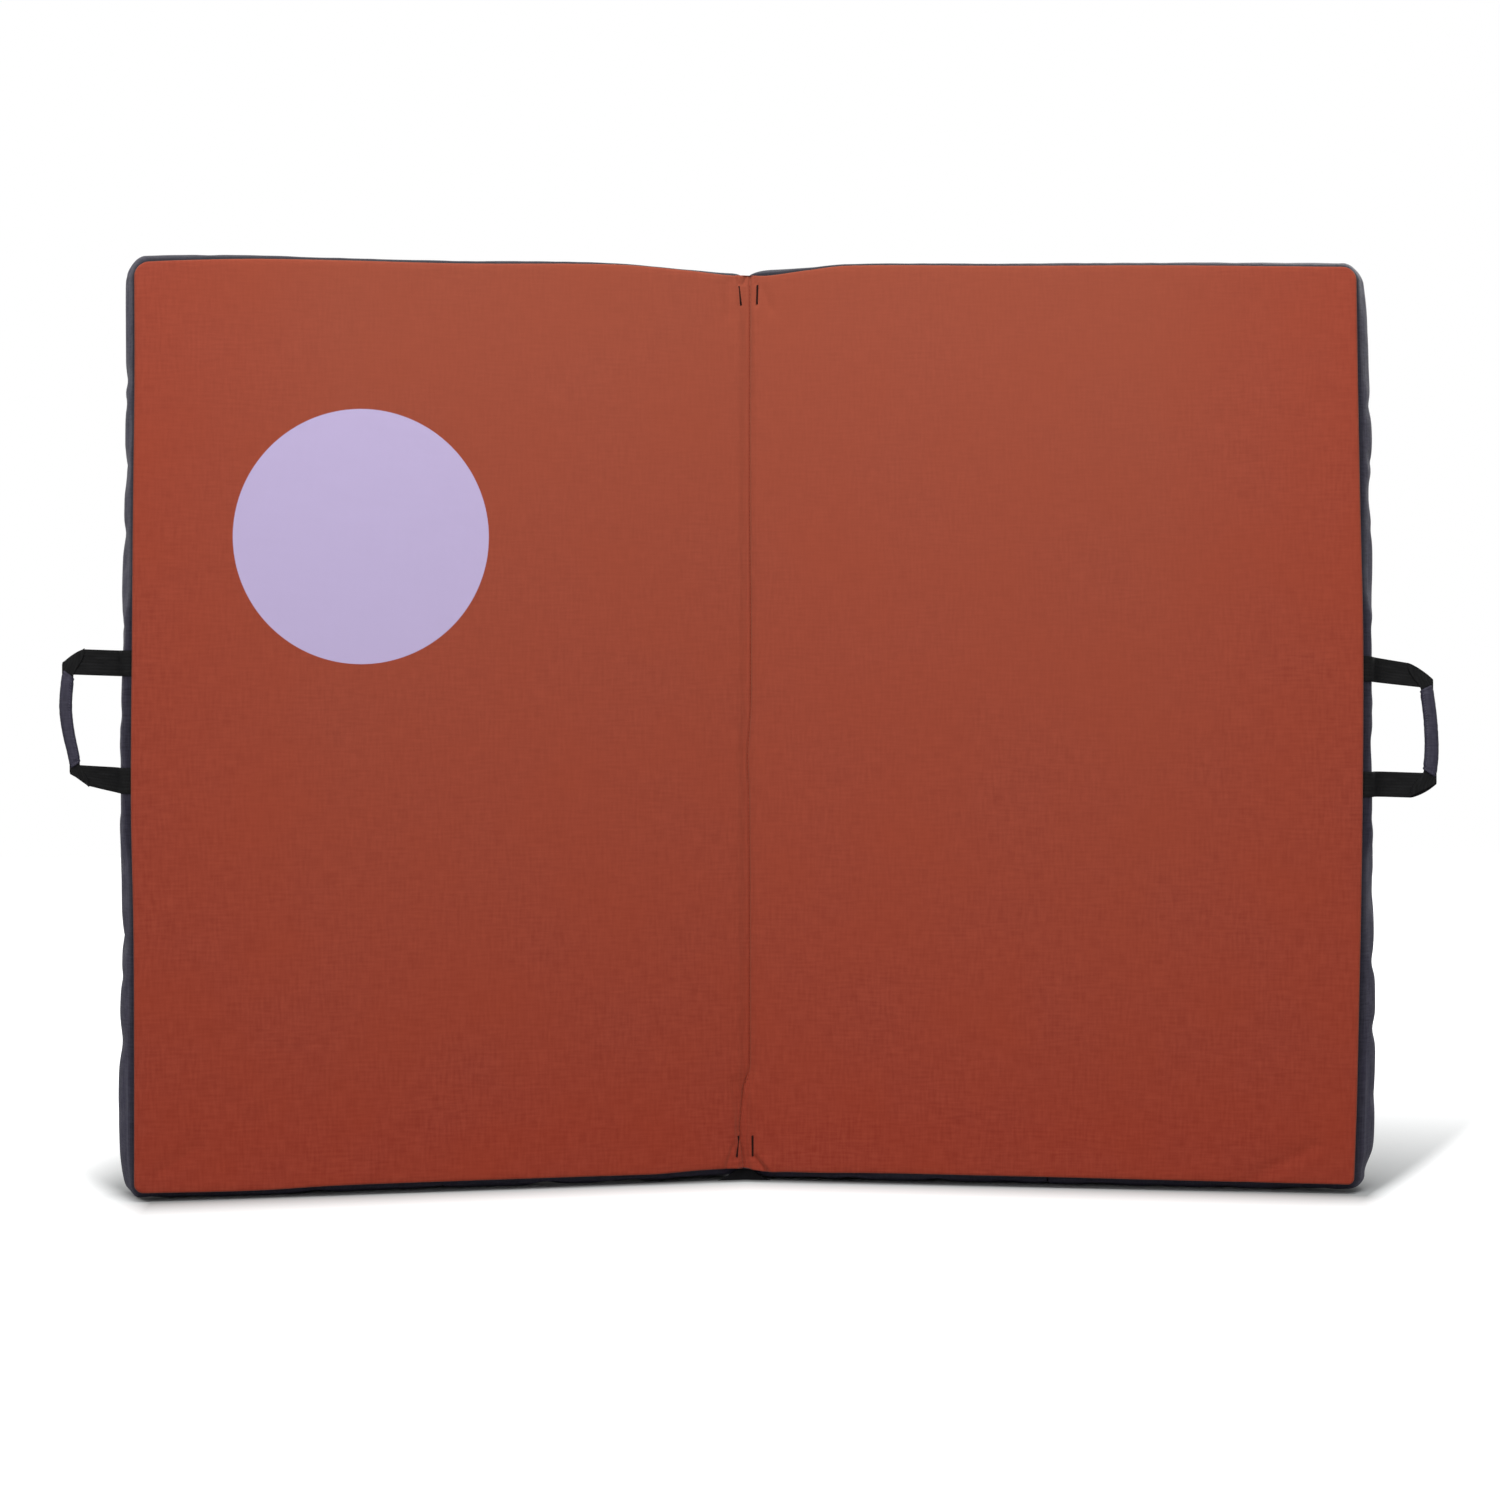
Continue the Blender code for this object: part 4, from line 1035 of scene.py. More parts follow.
# A place on a strap's face, edge in from its rim on one side
def shoulderPlace(outwards, share, edge, sign):
    spread, half, _ = shoulderSection(share)
    aside = (half - edge) * sign
    z = shoulder["head"] - share * shoulder["length"]
    level = panel["restLevel"] + shoulderLevel(outwards, share, edge, aside)
    return panelPoint(-1, belt["centreU"] + outwards * spread + aside, level, z), (aside, z)


def shoulderShape(outwards):
    core, tape = shoulder["bindingShare"], shoulder["binding"]

    def shape(a, b):
        half, across = shoulderSection(1 - b)[1], abs(2 * a - 1)
        if across > core:
            edge = tape * (1 - across) / (1 - core)
        else:
            edge = tape + (half - tape) * (1 - across / core)
        return shoulderPlace(outwards, 1 - b, edge, signOf(a - 0.5))

    return shape


for part, outwards in outwardSigns.items():
    bm = clothGrid(*shoulder["steps"], shoulderShape(outwards))
    uvMap = bm.loops.layers.uv["cloth"]
    for strapFace in bm.faces:
        middle = sum((corner[uvMap].uv for corner in strapFace.loops), Vector((0, 0))) / len(strapFace.loops)
        half = shoulderSection(shoulderShare(middle.y))[1]
        if half - abs(middle.x) < shoulder["binding"]:
            strapFace.material_index = 1
            for corner in strapFace.loops:
                corner[uvMap].uv = (corner[uvMap].uv.y, half - abs(corner[uvMap].uv.x))
    piece = finishPiece(bm, f"{part}_shoulder", "slateCloth")
    piece.data.materials.append(finishes["bindingTape"])
    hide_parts(f"{part}_shoulder_strap")
    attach(piece, "left_panel")
print("shoulder straps made")


# The yoke that the straps are sewn under
yoke = {
    "half": 0.108, "low": 0.7195, "high": 0.7783, "corner": 0.012, "level": 0.0016, "thickness": 0.0014,
    "steps": (96, 44), "drape": 0.011, "headFall": 0.016, "puff": 0.0006, "puffFrom": 0.02, "waveScale": 45,
    "over": 0.0008, "leastEdge": 0.0025,
}
yokeHalfZ, yokeMiddle = (yoke["high"] - yoke["low"]) / 2, (yoke["high"] + yoke["low"]) / 2


# Moves the corners of a rectangle's grid onto quarter circles
def roundedPlace(x, y, halfX, halfY, radius):
    reachX, reachY = abs(x) - halfX + radius, abs(y) - halfY + radius
    if reachX > 0 and reachY > 0:
        scale = max(reachX, reachY) / hypot(reachX, reachY)
        x = (halfX - radius + reachX * scale) * signOf(x)
        y = (halfY - radius + reachY * scale) * signOf(y)
    return x, y


def yokeLevel(u, z):
    level = yoke["level"]
    share = clamped(shoulderShare(z))
    spread, half, _ = shoulderSection(share)
    above = 1 - smoothStep((z - shoulder["head"]) / yoke["headFall"])
    for outwards in outwardSigns.values():
        aside = u - belt["centreU"] - outwards * spread
        beside = smoothStep((half + yoke["drape"] - abs(aside)) / yoke["drape"])
        top = shoulderLevel(outwards, share, max(half - abs(aside), yoke["leastEdge"]), aside) + yoke["over"]
        level = max(level, mix(yoke["level"], top + yoke["thickness"], beside * above))
    wave = noise.noise(Vector((u * yoke["waveScale"], z * yoke["waveScale"], 7)))
    return level + yoke["puff"] * (0.4 + 0.6 * wave) * smoothStep((z - yoke["low"]) / yoke["puffFrom"])


# A place on the yoke at shares from -1 to 1 across and up, inset from its rim
def yokePlace(across, up, inset=0):
    halfU, halfZ = yoke["half"] - inset, yokeHalfZ - inset
    aside, up = roundedPlace(across * halfU, up * halfZ, halfU, halfZ, yoke["corner"] - inset)
    u, z = belt["centreU"] - aside, yokeMiddle + up
    return panelPoint(-1, u, panel["restLevel"] + yokeLevel(u, z), z), (u, z)


def yokeShape(a, b):
    return yokePlace(2 * a - 1, 2 * b - 1)


piece = finishPiece(clothGrid(*yoke["steps"], yokeShape, True), "yoke_patch", "slateCloth")
thicken(piece, yoke["thickness"])
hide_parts("shoulder_yoke")
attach(piece, "left_panel")
print("yoke made")


# Strap adjusters: webbing sewn under a patch, round the ladder lock and out, and the lock's own webbing
adjuster = {
    "sewn": 0.2735, "sewnLead": 0.004, "lock": 0.3585, "turn": 0.0046, "tail": 0.048, "top": 0.0075,
    "under": 0.0028, "step": 0.0008, "passes": 3,
    "patch": (0.0185, 0.013), "patchCorner": 0.004, "patchSteps": (34, 26), "patchThick": 0.0010,
    "patchLevels": (0.0014, 0.0034), "patchFlat": 0.0040, "patchSlope": 0.006,
    "holdHead": 0.482, "holdFoot": 0.374, "holdSteps": 30, "holdGap": 0.0004, "holdStep": 0.0010,
    "holdShare": 0.98,
    # Round the lock's upper bar, as (above the lock, level)
    "holdTurn": (
        (0.0116, 0.0075), (0.0076, 0.0075), (0.0061, 0.0062), (0.0061, 0.0040), (0.0076, 0.0028),
        (0.0150, 0.0028),
    ),
}


def adjusterRoute():
    lock, turn, thick = adjuster["lock"], adjuster["turn"], webbing["thickness"]
    top, under = adjuster["top"], adjuster["under"]
    return [
        (adjuster["sewn"] - adjuster["sewnLead"], halfThick), (lock + turn - thick, halfThick),
        (lock + turn, halfThick + thick), (lock + turn, top - thick), (lock + turn - thick, top),
        (lock - turn + thick, top), (lock - turn, top - thick), (lock - turn, under + thick),
        (lock - turn - thick, under), (lock - turn - adjuster["tail"], under),
    ]


# Down the strap's face, over the lock's top bar and back under it
def holdRoute(outwards):
    route = []
    for step in range(adjuster["holdSteps"]):
        z = mix(adjuster["holdHead"], adjuster["holdFoot"], step / (adjuster["holdSteps"] - 1))
        share = shoulderShare(z)
        level = shoulderLevel(outwards, share, shoulderSection(share)[1], 0)
        route.append((z, level + halfThick + adjuster["holdGap"]))
    return route + [(adjuster["lock"] + above, level) for above, level in adjuster["holdTurn"]]


# Follows a shoulder strap down its middle, with onTop for a level above its face
def downStrap(outwards, onTop=False):
    def place(along, level, across):
        share = clamped(shoulderShare(along))
        spread, half, _ = shoulderSection(share)
        if onTop:
            level += shoulderLevel(outwards, share, half, 0)
        u = belt["centreU"] + outwards * spread + across
        return panelPoint(-1, u, panel["restLevel"] + level, along)

    return place


def patchShape(middleU):
    (halfU, halfZ), corner = adjuster["patch"], adjuster["patchCorner"]
    place = upFace(middleU, adjuster["sewn"])

    def shape(a, b):
        aside, up = roundedPlace((1 - 2 * a) * halfU, (2 * b - 1) * halfZ, halfU, halfZ, corner)
        over = smoothStep((halfU - abs(aside)) / (halfU - halfWidth))
        over *= smoothStep((halfZ + up - adjuster["patchFlat"]) / adjuster["patchSlope"])
        point = place(up, mix(*adjuster["patchLevels"], over), aside)
        return point, (middleU + aside, adjuster["sewn"] + up)

    return shape


strapFeet = {
    part: belt["centreU"] + outwards * shoulder["footSpread"] for part, outwards in outwardSigns.items()
}
for part, outwards in outwardSigns.items():
    place = upFace(strapFeet[part])
    bm = bandAlong(rounded(adjusterRoute(), adjuster["step"], adjuster["passes"]), place)
    piece = finishPiece(bm, f"{part}_adjuster", "blackWebbing")
    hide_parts(f"{part}_adjuster_webbing")
    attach(piece, "left_panel")
    route = rounded(holdRoute(outwards), adjuster["holdStep"], adjuster["passes"])
    bm = bandAlong(route, downStrap(outwards), halfWidth=halfWidth * adjuster["holdShare"])
    piece = finishPiece(bm, f"{part}_lock_webbing", "blackWebbing")
    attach(piece, "left_panel")
    bm = clothGrid(*adjuster["patchSteps"], patchShape(strapFeet[part]), True)
    patch = finishPiece(bm, f"{part}_adjuster_patch", "slateCloth")
    thicken(patch, adjuster["patchThick"])
    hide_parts(f"{part}_adjuster_anchor")
    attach(patch, "left_panel")
print("strap adjusters made")


# Carry handles: two webbing legs folded over at the corners into a sewn sleeve
handle = {
    "pivotU": 0.6125, "pivotT": 0.03676, "half": 0.069, "reach": 0.0595, "bow": 0.0035,
    "cornerAlong": 0.0215, "cornerUp": 0.0144, "legThick": 0.0018, "flapThick": 0.0014,
    "gripWidth": 0.0126, "gripThick": 0.0085, "gripHalf": 0.0450, "gripSlant": 0.0040, "hem": 0.0035,
    "around": 36, "passes": 8, "cutRound": 0.35, "gripSteps": (36, 70), "gripCloth": 0.0008,
    "seamStart": (-0.0160, 0.0066), "tabDepths": (0.02, 0.05, 0.09, 0.14, 0.19, 0.24),
    # From the last point on the band to the pivot, as (out from it, back from the landing side)
    "lift": ((0.0020, 0.0315), (0.0085, 0.03676)),
    "blendStart": (0.612, 0.027), "blendEnd": (0.622, 0.040), "drop": {-1: 0.0042, 1: -0.001},
    # (height from the middle, rise towards the grip) and (height, how far the grip is drawn in)
    "rises": {
        -1: ((-0.069, 0.012), (-0.044, 0.003), (0.044, 0.002), (0.069, 0.002)),
        1: ((-0.069, -0.002), (-0.044, -0.0022), (0.044, -0.0078), (0.069, -0.0117)),
    },
    "drawn": {
        -1: (
            (-0.060, 0.0088), (-0.035, 0.0083), (-0.011, 0.0048), (0.010, 0.0022), (0.030, 0.0016),
            (0.069, 0.0015),
        ),
        1: (
            (-0.060, -0.0108), (-0.030, -0.0104), (0, -0.0086), (0.030, -0.0074), (0.045, -0.0074),
            (0.069, -0.0074),
        ),
    },
}
legEnd = handle["reach"] - handle["bow"]


# A point of a handle: out from its swing axis, back from the landing side, up from its middle
def handlePoint(side, out, t, high):
    share = clamped(out / handle["reach"], 0, 1.2)
    up = follow(handle["rises"][side], high) * share
    drawn = follow(handle["drawn"][side], high) * smoothStep(share)
    return panelPoint(side, handle["pivotU"] + out - drawn, t, middleZ + handle["drop"][side] + high + up)


def gripMiddle(high):
    share = high / handle["gripHalf"]
    return handle["reach"] - handle["gripWidth"] / 2 - handle["bow"] * share * share


# Webbing from the landing seam, round the side band and out to the folded corner
def addLeg(bm, side, sign):
    centre = sign * (handle["half"] - halfWidth)
    half = handle["legThick"] / 2
    cut = handle["cornerUp"]
    route = [handle["seamStart"]]
    for depth in handle["tabDepths"]:
        u, t, _ = bandPoint(side, panel["width"], centre + handle["drop"][side], 0, depth)
        route.append((u + half + webbing["gap"] - handle["pivotU"], t))
    route += [(route[-1][0] + out, t) for out, t in handle["lift"]] + [(legEnd, handle["pivotT"])]

    def cutEnd(across):
        share = clamped((sign * across - halfWidth + cut) / cut)
        rounding = share ** 2 * 0.5 + (1 - (1 - share ** 4) ** 0.5) * 0.5
        return handle["cornerAlong"] * mix(share, rounding, handle["cutRound"])

    def place(out, t, across):
        return handlePoint(side, out, t, centre + across)

    points = rounded(route, passes=handle["passes"])
    bandAlong(points, place, bm, halfThick=half, cutEnd=cutEnd, around=handle["around"])


flap = {
    "low": 0.035, "inset": 0.0004, "slimmer": 0.002, "bulge": 0.0006, "gap": 0.0002, "short": 0.0003,
    "wideFrom": 0.30, "wideRun": 0.6, "steps": (14, 22),
}


# The folded-over webbing of a corner, narrowed into the sleeve
def addFlap(bm, side, sign):
    def shape(a, b):
        widening = smoothStep((b - flap["wideFrom"]) / flap["wideRun"])
        width = mix(handle["gripWidth"] - flap["slimmer"], handle["cornerAlong"], widening)
        across = width * (1 - a)
        top = handle["half"] - handle["cornerUp"] * (1 - min(across / handle["cornerAlong"], 1))
        high = mix(flap["low"], top - flap["short"], b)
        t = handle["pivotT"] - (handle["legThick"] + handle["flapThick"]) / 2 - flap["gap"]
        t -= flap["bulge"] * sin(pi * b) * sin(pi * a)
        return handlePoint(side, legEnd - flap["inset"] - across, t, sign * high), (high, across - width / 2)

    _, faces = addGrid(bm, *flap["steps"], shape)
    bmesh.ops.solidify(bm, geom=faces, thickness=handle["flapThick"] * side * sign)


grip = {
    "fillFrom": 0.0004, "fillRun": 0.0016, "hemDip": 0.0005, "hemHalf": 0.0012, "crease": 0.00022,
    "creaseScale": 260, "endWide": 0.80, "endThick": 0.42, "square": 0.85,
}


def gripShape(side):
    def shape(a, b):
        turn, share = 2 * pi * a, 2 * b - 1
        reach = handle["gripHalf"] + handle["gripSlant"] * cos(turn)
        high, end = share * reach, (1 - abs(share)) * reach
        fill = smoothStep((end + grip["fillFrom"]) / grip["fillRun"])
        wrinkle = noise.noise(Vector((cos(turn) * 2, sin(turn) * 2, high * grip["creaseScale"] + side)))
        hem = grip["hemDip"] * exp(-((end - handle["hem"]) / grip["hemHalf"]) ** 2)
        proud = grip["crease"] * wrinkle - hem
        wide = handle["gripWidth"] / 2 * mix(grip["endWide"], 1, fill) + proud
        thick = handle["gripThick"] / 2 * mix(grip["endThick"], 1, fill) + proud
        out = gripMiddle(high) + wide * abs(cos(turn)) ** grip["square"] * signOf(cos(turn))
        t = handle["pivotT"] + thick * abs(sin(turn)) ** grip["square"] * signOf(sin(turn))
        return handlePoint(side, out, t, high), (a * pi * handle["gripWidth"], high)

    return shape


grips = {}
for hand, side in panel["sides"].items():
    bm = newCloth()
    for addPart in (addLeg, addFlap):
        for sign in (1, -1):
            addPart(bm, side, sign)
    legs = finishPiece(bm, f"{hand}_handle_legs", "blackWebbing")
    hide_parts(f"{hand}_handle_tab_upper", f"{hand}_handle_tab_lower", f"{hand}_handle_webbing")
    ends = [panelPoint(side, *handle[key], middleZ) for key in ("blendStart", "blendEnd")]
    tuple(ends[0])
    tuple(ends[1])
    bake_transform(legs)
    bm = clothGrid(*handle["gripSteps"], gripShape(side), side < 0)
    bmesh.ops.remove_doubles(bm, verts=bm.verts, dist=webbing["weld"])
    sleeve = finishPiece(bm, f"{hand}_grip", "slateCloth")
    thicken(sleeve, handle["gripCloth"])
    grips[hand] = sleeve
    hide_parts(f"{hand}_handle_grip")
    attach(sleeve, f"{hand}_handle")
print("handles made")


# Sewing: every stitch is a small twisted bead, dipping into the cloth at its ends
sewing = {
    "length": 0.0026, "gap": 0.0012, "radius": 0.00042, "sides": 6, "rings": 4, "proud": 0.00016,
    "seamOff": -0.0004, "seamFrom": 0.020, "seamStep": 0.006, "seamSteps": 147,
}


def makeBead():
    bm = newCloth()
    uvMap = bm.loops.layers.uv["cloth"]
    bmesh.ops.create_uvsphere(bm, u_segments=sewing["sides"], v_segments=sewing["rings"], radius=1)
    for beadFace in bm.faces:
        for corner in beadFace.loops:
            place = corner.vert.co
            corner[uvMap].uv = (place.z * sewing["length"] / 2, atan2(place.y, place.x) / (2 * pi))
    return newMesh(bm, "bead")


bead = makeBead()


def addStitch(bm, start, end, up, radius):
    heading = (end - start).normalized()
    aside = heading.cross(up).normalized()
    lift = aside.cross(heading)
    middle = (start + end) / 2 + lift * max(sewing["proud"], radius * 0.5)
    axes = Matrix((aside * radius, lift * radius, heading * (end - start).length / 2)).transposed()
    place = Matrix.Translation(middle) @ axes.to_4x4()
    bead.transform(place)
    bm.from_mesh(bead)
    bead.transform(place.inverted())


# Places and headings at even steps along a line of points
def alongLine(points, step):
    spots, left = [], step / 2
    for start, end in zip(points, points[1:]):
        length = (end - start).length
        while left < length:
            spots.append((start.lerp(end, left / length), (end - start).normalized()))
            left += step
        left -= length
    return spots


# A row of stitches along points on the cloth, with up as its outward direction
def addRun(bm, points, up, length=sewing["length"], gap=sewing["gap"], radius=sewing["radius"]):
    for spot, heading in alongLine(points, length + gap):
        addStitch(bm, spot - heading * length / 2, spot + heading * length / 2, up, radius)


# A bar tack: dense zigzag over a short line
def addTack(bm, start, end, up):
    aside = (end - start).normalized().cross(up).normalized() * tack["wide"] / 2
    count = int((end - start).length / tack["pitch"])
    for index in range(count):
        low, high = start.lerp(end, index / count), start.lerp(end, (index + 1) / count)
        sign = 1 if index % 2 else -1
        addStitch(bm, low + aside * sign, high - aside * sign, up, tack["radius"])


def surfaceTree(piece):
    bm = bmesh.new()
    bm.from_mesh(piece.data)
    tree = BVHTree.FromBMesh(bm)
    bm.free()
    return tree


# Whipped stitches close each sleeve
whip = {
    "start": -0.041, "count": 31, "pitch": 0.0026, "wide": 0.0016, "aside": 0.0036, "radius": 0.00026,
    "slant": 0.3, "probe": -0.02,
}
for hand, side in panel["sides"].items():
    tree = surfaceTree(grips[hand])
    bm = newCloth()
    for index in range(whip["count"]):
        high = whip["start"] + index * whip["pitch"]
        ends = []
        for sign in (-1, 1):
            out = gripMiddle(high) - whip["aside"] + sign * whip["wide"] / 2
            probe = handlePoint(side, out, whip["probe"], high + sign * whip["pitch"] * whip["slant"])
            ends.append(tree.ray_cast(probe, panelPoint(side, 0, 1, 0))[0])
        if all(ends):
            addStitch(bm, *ends, panelPoint(side, 0, -1, 0), whip["radius"])
    stitches = finishPiece(bm, f"{hand}_grip_sewing", "slateThread")
    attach(stitches, f"{hand}_handle")


# Painted shade: a dark triangular sheet of tape behind the foot of the fold, put where there is only shade
shadeSheet = {
    "low": 0.0022, "high": 0.0168, "halfLow": 0.0250, "halfHigh": 0.0016, "back": 0.0088, "steps": (24, 8),
}


def shadeSheetShape(a, b):
    z = mix(shadeSheet["low"], shadeSheet["high"], b)
    x = (2 * a - 1) * mix(shadeSheet["halfLow"], shadeSheet["halfHigh"], b ** 0.7) + follow(foldLine, z)
    lean = panel["lean"] * smoothStep(abs(x) / face["foldTurn"])
    return panelPoint(signOf(x), abs(x), shadeSheet["back"], z, lean), (x, z)


# Painted shade: a dark sheet filling the notch between the panels' feet
foldShadeSheet = finishPiece(clothGrid(*shadeSheet["steps"], shadeSheetShape), "fold_shade_sheet", "bindingTape")
thicken(foldShadeSheet, webbing["thickness"])
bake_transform(foldShadeSheet)
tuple(foldStart)
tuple(foldEnd)

landingTree = surfaceTree(landingCover)
landingUp = Vector((0, -1, 0))
probeAway = 0.06


# The point of the landing side in front of a place on the panel
def onLanding(side, u, z):
    start, way = panelPoint(side, u, -probeAway, z), panelPoint(side, 0, 1, 0)
    return landingTree.ray_cast(start, way)[0] or start + way * probeAway


tackCloth, seamCloth = newCloth(), newCloth()
for side, u, z, endU, endZ in tacks:
    addTack(tackCloth, onLanding(side, u, z), onLanding(side, endU, endZ), landingUp)
seamHeights = [sewing["seamFrom"] + step * sewing["seamStep"] for step in range(sewing["seamSteps"])]
seamPlaces = [(follow(foldLine, z) + sewing["seamOff"], z) for z in seamHeights]
addRun(seamCloth, [onLanding(signOf(x), abs(x), z) for x, z in seamPlaces], landingUp)
for bm, name, finish in ((tackCloth, "fold_tacks", "darkThread"), (seamCloth, "fold_seam", "rustThread")):
    piece = finishPiece(bm, name, finish)
    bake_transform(piece)
    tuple(foldStart)
    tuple(foldEnd)
print("fold sewn")


# Sewing on the webbing and patches of both back sides
box = {
    "length": 0.0024, "gap": 0.0010, "radius": 0.00030, "up": 0.0001, "probe": 0.01,
    # Middle along, half length, half width and level of each kind of box
    "strap": (-0.0265, 0.0150, 0.0090, 0.0016), "patch": (0, 0.0085, 0.0100, 0.0036),
    "loop": ((-0.0245, 0.0042, 0.0090, 0.0016), (0.0245, 0.0042, 0.0090, 0.0016)),
    "hold": ((0.4680, 0.0105, 0.0090, 0.0020), (0.3860, 0.0070, 0.0090, 0.0020)),
}
edging = {
    "length": 0.0030, "gap": 0.0010, "radius": 0.00030, "inset": 0.0062, "from": 0.03, "to": 0.985,
    "steps": 75,
    "yokeInsets": (0.0032, 0.0085), "yokeRadius": 0.00032, "yokeSteps": 40,
}


# A sewn box with a cross in it. place puts (along, level, across) in the pad
def addBox(bm, place, middle, halfAlong, halfAcross, level):
    up = (place(middle, level + box["probe"], 0) - place(middle, level, 0)).normalized()
    corners = [
        place(middle + along * halfAlong, level + box["up"], across * halfAcross)
        for along, across in ((-1, -1), (1, -1), (1, 1), (-1, 1))
    ]
    for line in (corners + corners[:1], corners[::2], corners[1::2]):
        addRun(bm, line, up, box["length"], box["gap"], box["radius"])


closureCloth, harnessCloth, strapCloth = newCloth(), newCloth(), newCloth()
for name, (place, _, body) in strapPlaces.items():
    if body == "right_panel":
        addBox(closureCloth, place, *box["strap"])
for place in loopPlaces.values():
    for sizes in box["loop"]:
        addBox(harnessCloth, place, *sizes)
for name, (place, _, body) in strapPlaces.items():
    if body == "left_panel":
        addBox(harnessCloth, place, *box["strap"])
backUp = panelPoint(-1, 0, 1, 0)
for part, outwards in outwardSigns.items():
    for sizes in box["hold"]:
        addBox(harnessCloth, downStrap(outwards, True), *sizes)
    addBox(strapCloth, upFace(strapFeet[part], adjuster["sewn"]), *box["patch"])
    # Both edges of each strap's binding
    last = edging["steps"] - 1
    shares = [mix(edging["from"], edging["to"], step / last) for step in range(edging["steps"])]
    for sign in (-1, 1):
        line = [shoulderPlace(outwards, share, edging["inset"], sign)[0] for share in shares]
        addRun(strapCloth, line, backUp, edging["length"], edging["gap"], edging["radius"])
# Two rows round the yoke
rim = [(-1, -1), (1, -1), (1, 1), (-1, 1), (-1, -1)]
for inset in edging["yokeInsets"]:
    line = []
    for start, end in zip(rim, rim[1:]):
        for step in range(edging["yokeSteps"]):
            share = step / edging["yokeSteps"]
            line.append(yokePlace(mix(start[0], end[0], share), mix(start[1], end[1], share), inset)[0])
    addRun(strapCloth, line + line[:1], backUp, edging["length"], edging["gap"], edging["yokeRadius"])
for bm, name, body, finish, slot in (
    (closureCloth, "closure_sewing", "right_panel", "webbingThread", "black_webbing"),
    (harnessCloth, "harness_sewing", "left_panel", "webbingThread", "black_webbing"),
    (strapCloth, "strap_sewing", "left_panel", "slateThread", "slate_fabric"),
):
    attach(finishPiece(bm, name, finish), body)
print("harness sewn")


# The imported nodes that are kept get their finish
slotOf = {part["node"]: part["material_slot"] for part in frame["record"]["subparts"]}
for name, node in frame["nodes"].items():
    finish = finishes[slotFinishes[slotOf[name]]]
    for materialSlot in node.material_slots:
        materialSlot.material = finish
    if not node.material_slots:
        node.data.materials.append(finish)


# Camera
view = {
    "place": (-0.1500, -3.4478, 0.5131), "yaw": radians(-2.566), "lens": 83.16, "sensor": 36,
    "shiftUp": -0.0546,
}
cameraData = bpy.data.cameras.new("photoView")
cameraData.lens = view["lens"]
cameraData.sensor_width = view["sensor"]
cameraData.shift_y = view["shiftUp"]
camera = newObject("photoView", cameraData)
camera.location = view["place"]
camera.rotation_euler = (pi / 2, 0, view["yaw"])
bpy.context.scene.camera = camera


# Floor, world and lamps
studio = {
    "floorSize": 12, "floorColour": (0.485, 0.5, 0.5, 1), "floorRough": 0.9, "floorGlow": 1.1,
    "worldLight": 0.20,
    # How far the painted shadow reaches round the pad's foot, in metres: within it the floor's glow is off
    # and the lamps' real shadow shows
    "reach": {"left": 0.100, "right": 0.045, "front": 0.150, "back": 0.95, "leftBack": 0.55},
    "footHalf": 0.592, "leftHalf": 0.618, "rightHalf": 0.580, "footDeep": 0.030, "footLean": 0.235,
    "behindDeep": 0.18, "behindLean": 0.44, "fadeCurve": 0.75, "fanFoot": -0.155, "fanSpread": 0.430,
    "leftEdge": 0.575, "leftSlope": 2.6, "leftRun": (0.10, 0.55),
    "lamps": {
        "top": {"place": (0.0, -1.3, 2.3), "aim": (0, 0, 0.55), "size": 1.6, "power": 39},
        "front": {"place": (-1.7, -4.2, 1.9), "aim": (0, 0, 0.5), "size": 2.8, "power": 55},
        "back": {"place": (2.1, 3.2, 2.6), "aim": (0, 0, 0.4), "size": 3.0, "power": 56},
    },
}
white = (1, 1, 1, 1)


def positive(value):
    return maths("MAXIMUM", value, 0)
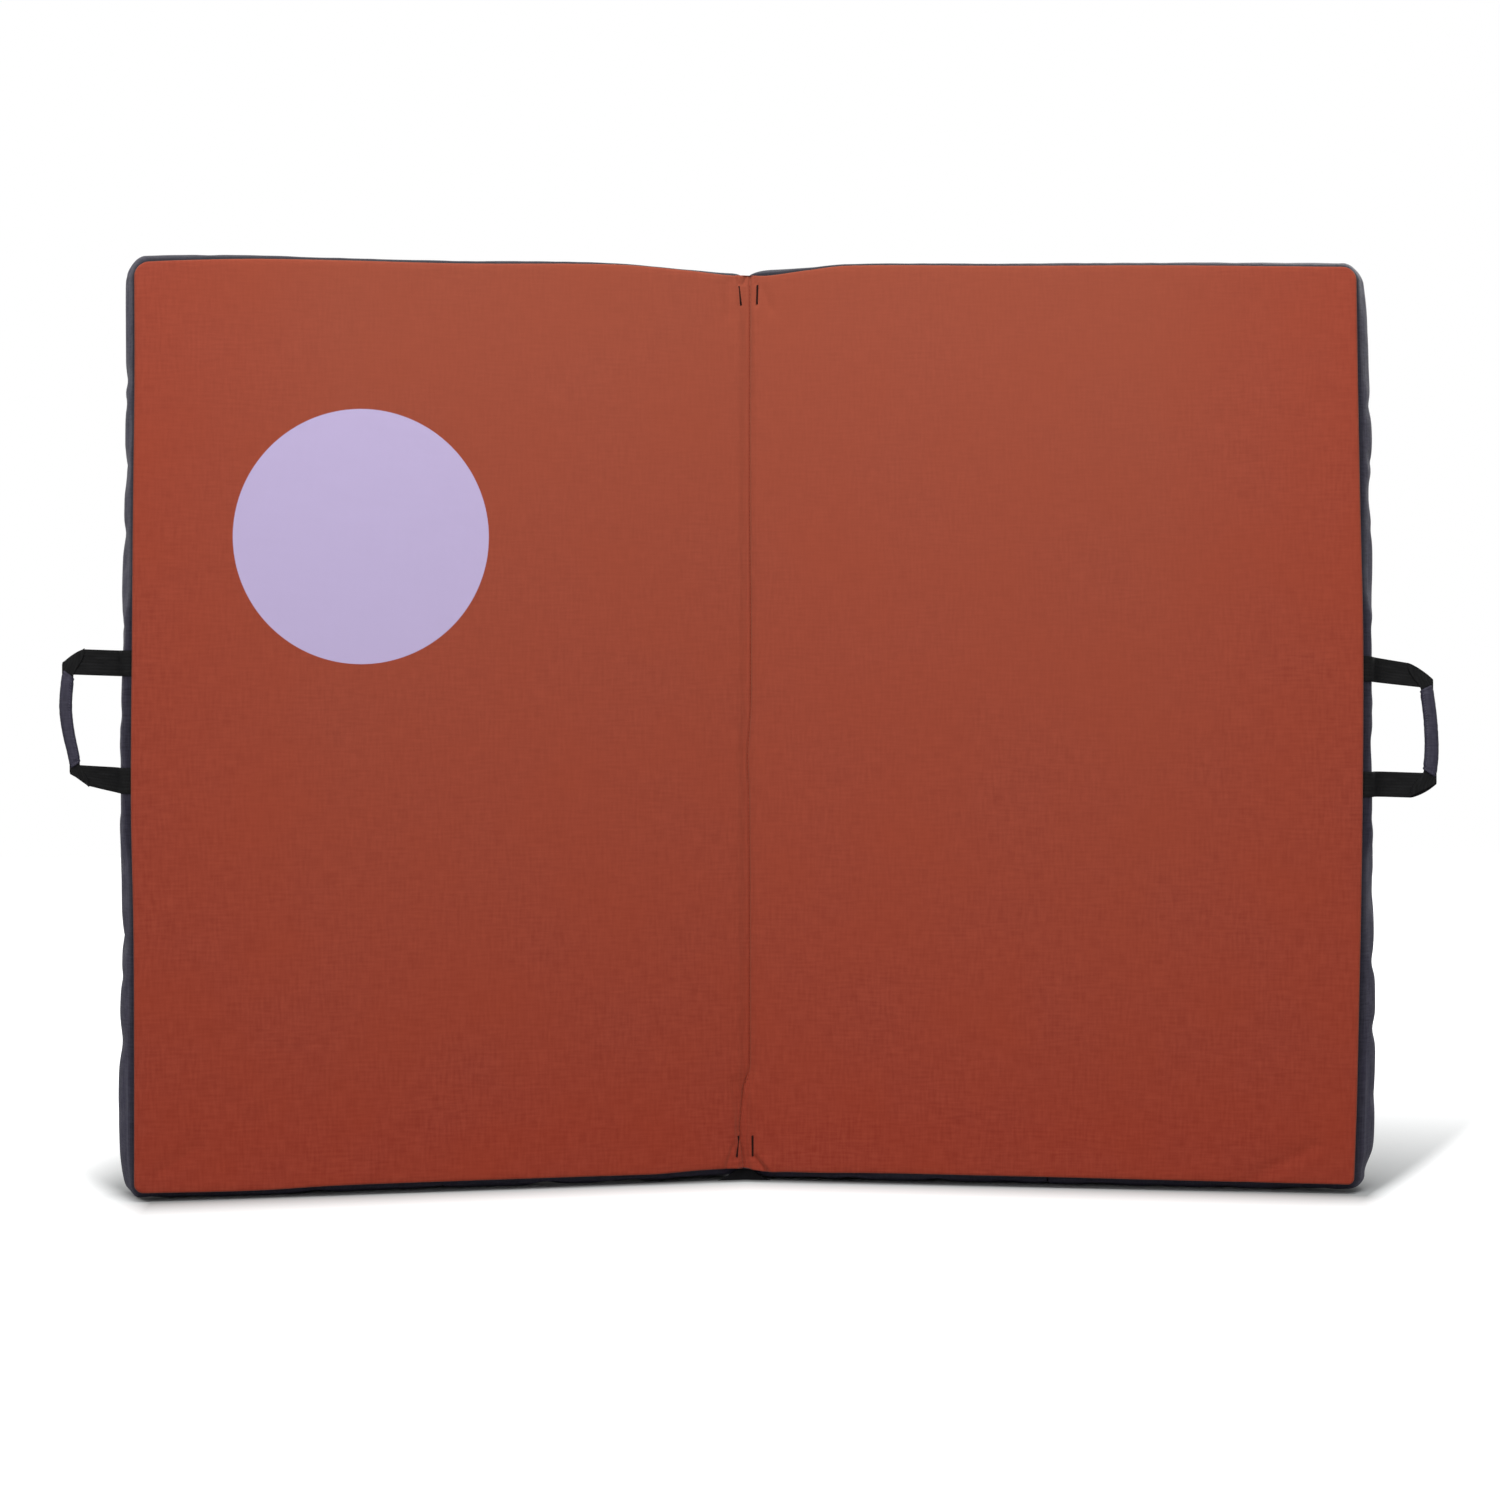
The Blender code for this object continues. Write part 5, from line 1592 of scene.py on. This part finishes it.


# Painted shadow: the floor glows white away from the pad's foot, and the glow's mask is drawn in the
# shadow's shape, a patch to the left and a fan to the right, so beside the pad it keeps the lamps' shadow
def paintedShadowMask(tree):
    axes = addNode(tree, "SeparateXYZ", {0: addNode(tree, "TexCoord", {})["Object"]})
    across, deep = axes[0], axes[1]
    leftward = times(across, -1)
    aside = maths("MINIMUM", maths("ABSOLUTE", across), studio["footHalf"])
    beyond = positive(minus(leftward, studio["leftEdge"]))
    inFront = minus(studio["footDeep"], plus(deep, times(aside, studio["footLean"])))
    fan = times(positive(minus(deep, studio["fanFoot"])), studio["fanSpread"])
    outside = {
        "left": minus(leftward, studio["leftHalf"]),
        "leftBack": times(positive(deep), ramp(leftward, *studio["leftRun"])),
        "right": minus(across, plus(fan, studio["rightHalf"])),
        "front": plus(inFront, times(beyond, studio["leftSlope"])),
        "back": minus(plus(deep, times(aside, studio["behindLean"])), studio["behindDeep"]),
    }
    total = 0
    for name, distance in outside.items():
        total = plus(maths("POWER", maths("DIVIDE", positive(distance), studio["reach"][name]), 2), total)
    return maths("POWER", ramp(maths("SQRT", total), 0, 1), studio["fadeCurve"])


bm = bmesh.new()
bmesh.ops.create_grid(bm, x_segments=1, y_segments=1, size=studio["floorSize"] / 2)
floorPiece = newObject("studioFloor", newMesh(bm, "studioFloor"))
material = bpy.data.materials.new("studioFloor")
material.use_nodes = True
tree = material.node_tree
# Painted shadow: the camera sees the floor glow, masked in the shadow's shape
seen = times(addNode(tree, "LightPath", {})["Is Camera Ray"], paintedShadowMask(tree))
wire(tree.nodes["Principled BSDF"], {
    "Base Color": studio["floorColour"], "Roughness": studio["floorRough"], "Specular IOR Level": 0,
    "Emission Color": white, "Emission Strength": times(seen, studio["floorGlow"]),
})
floorPiece.data.materials.append(material)

world = bpy.data.worlds.new("studioWorld")
bpy.context.scene.world = world
world.use_nodes = True
path = addNode(world.node_tree, "LightPath", {})
shown = maths("MAXIMUM", path["Is Camera Ray"], path["Is Glossy Ray"])
shown = maths("MAXIMUM", shown, path["Is Transmission Ray"])
strength = plus(times(shown, 1 - studio["worldLight"]), studio["worldLight"])
wire(world.node_tree.nodes["Background"], {"Color": white, "Strength": strength})

for name, lamp in studio["lamps"].items():
    light = bpy.data.lights.new(name, "AREA")
    light.shape = "DISK"
    light.size = lamp["size"]
    light.energy = lamp["power"]
    source = newObject(name, light)
    source.location = lamp["place"]
    aim = Vector(lamp["aim"]) - Vector(lamp["place"])
    source.rotation_euler = aim.to_track_quat("-Z", "Y").to_euler()
bpy.context.scene.view_settings.view_transform = "Standard"
print("studio ready")
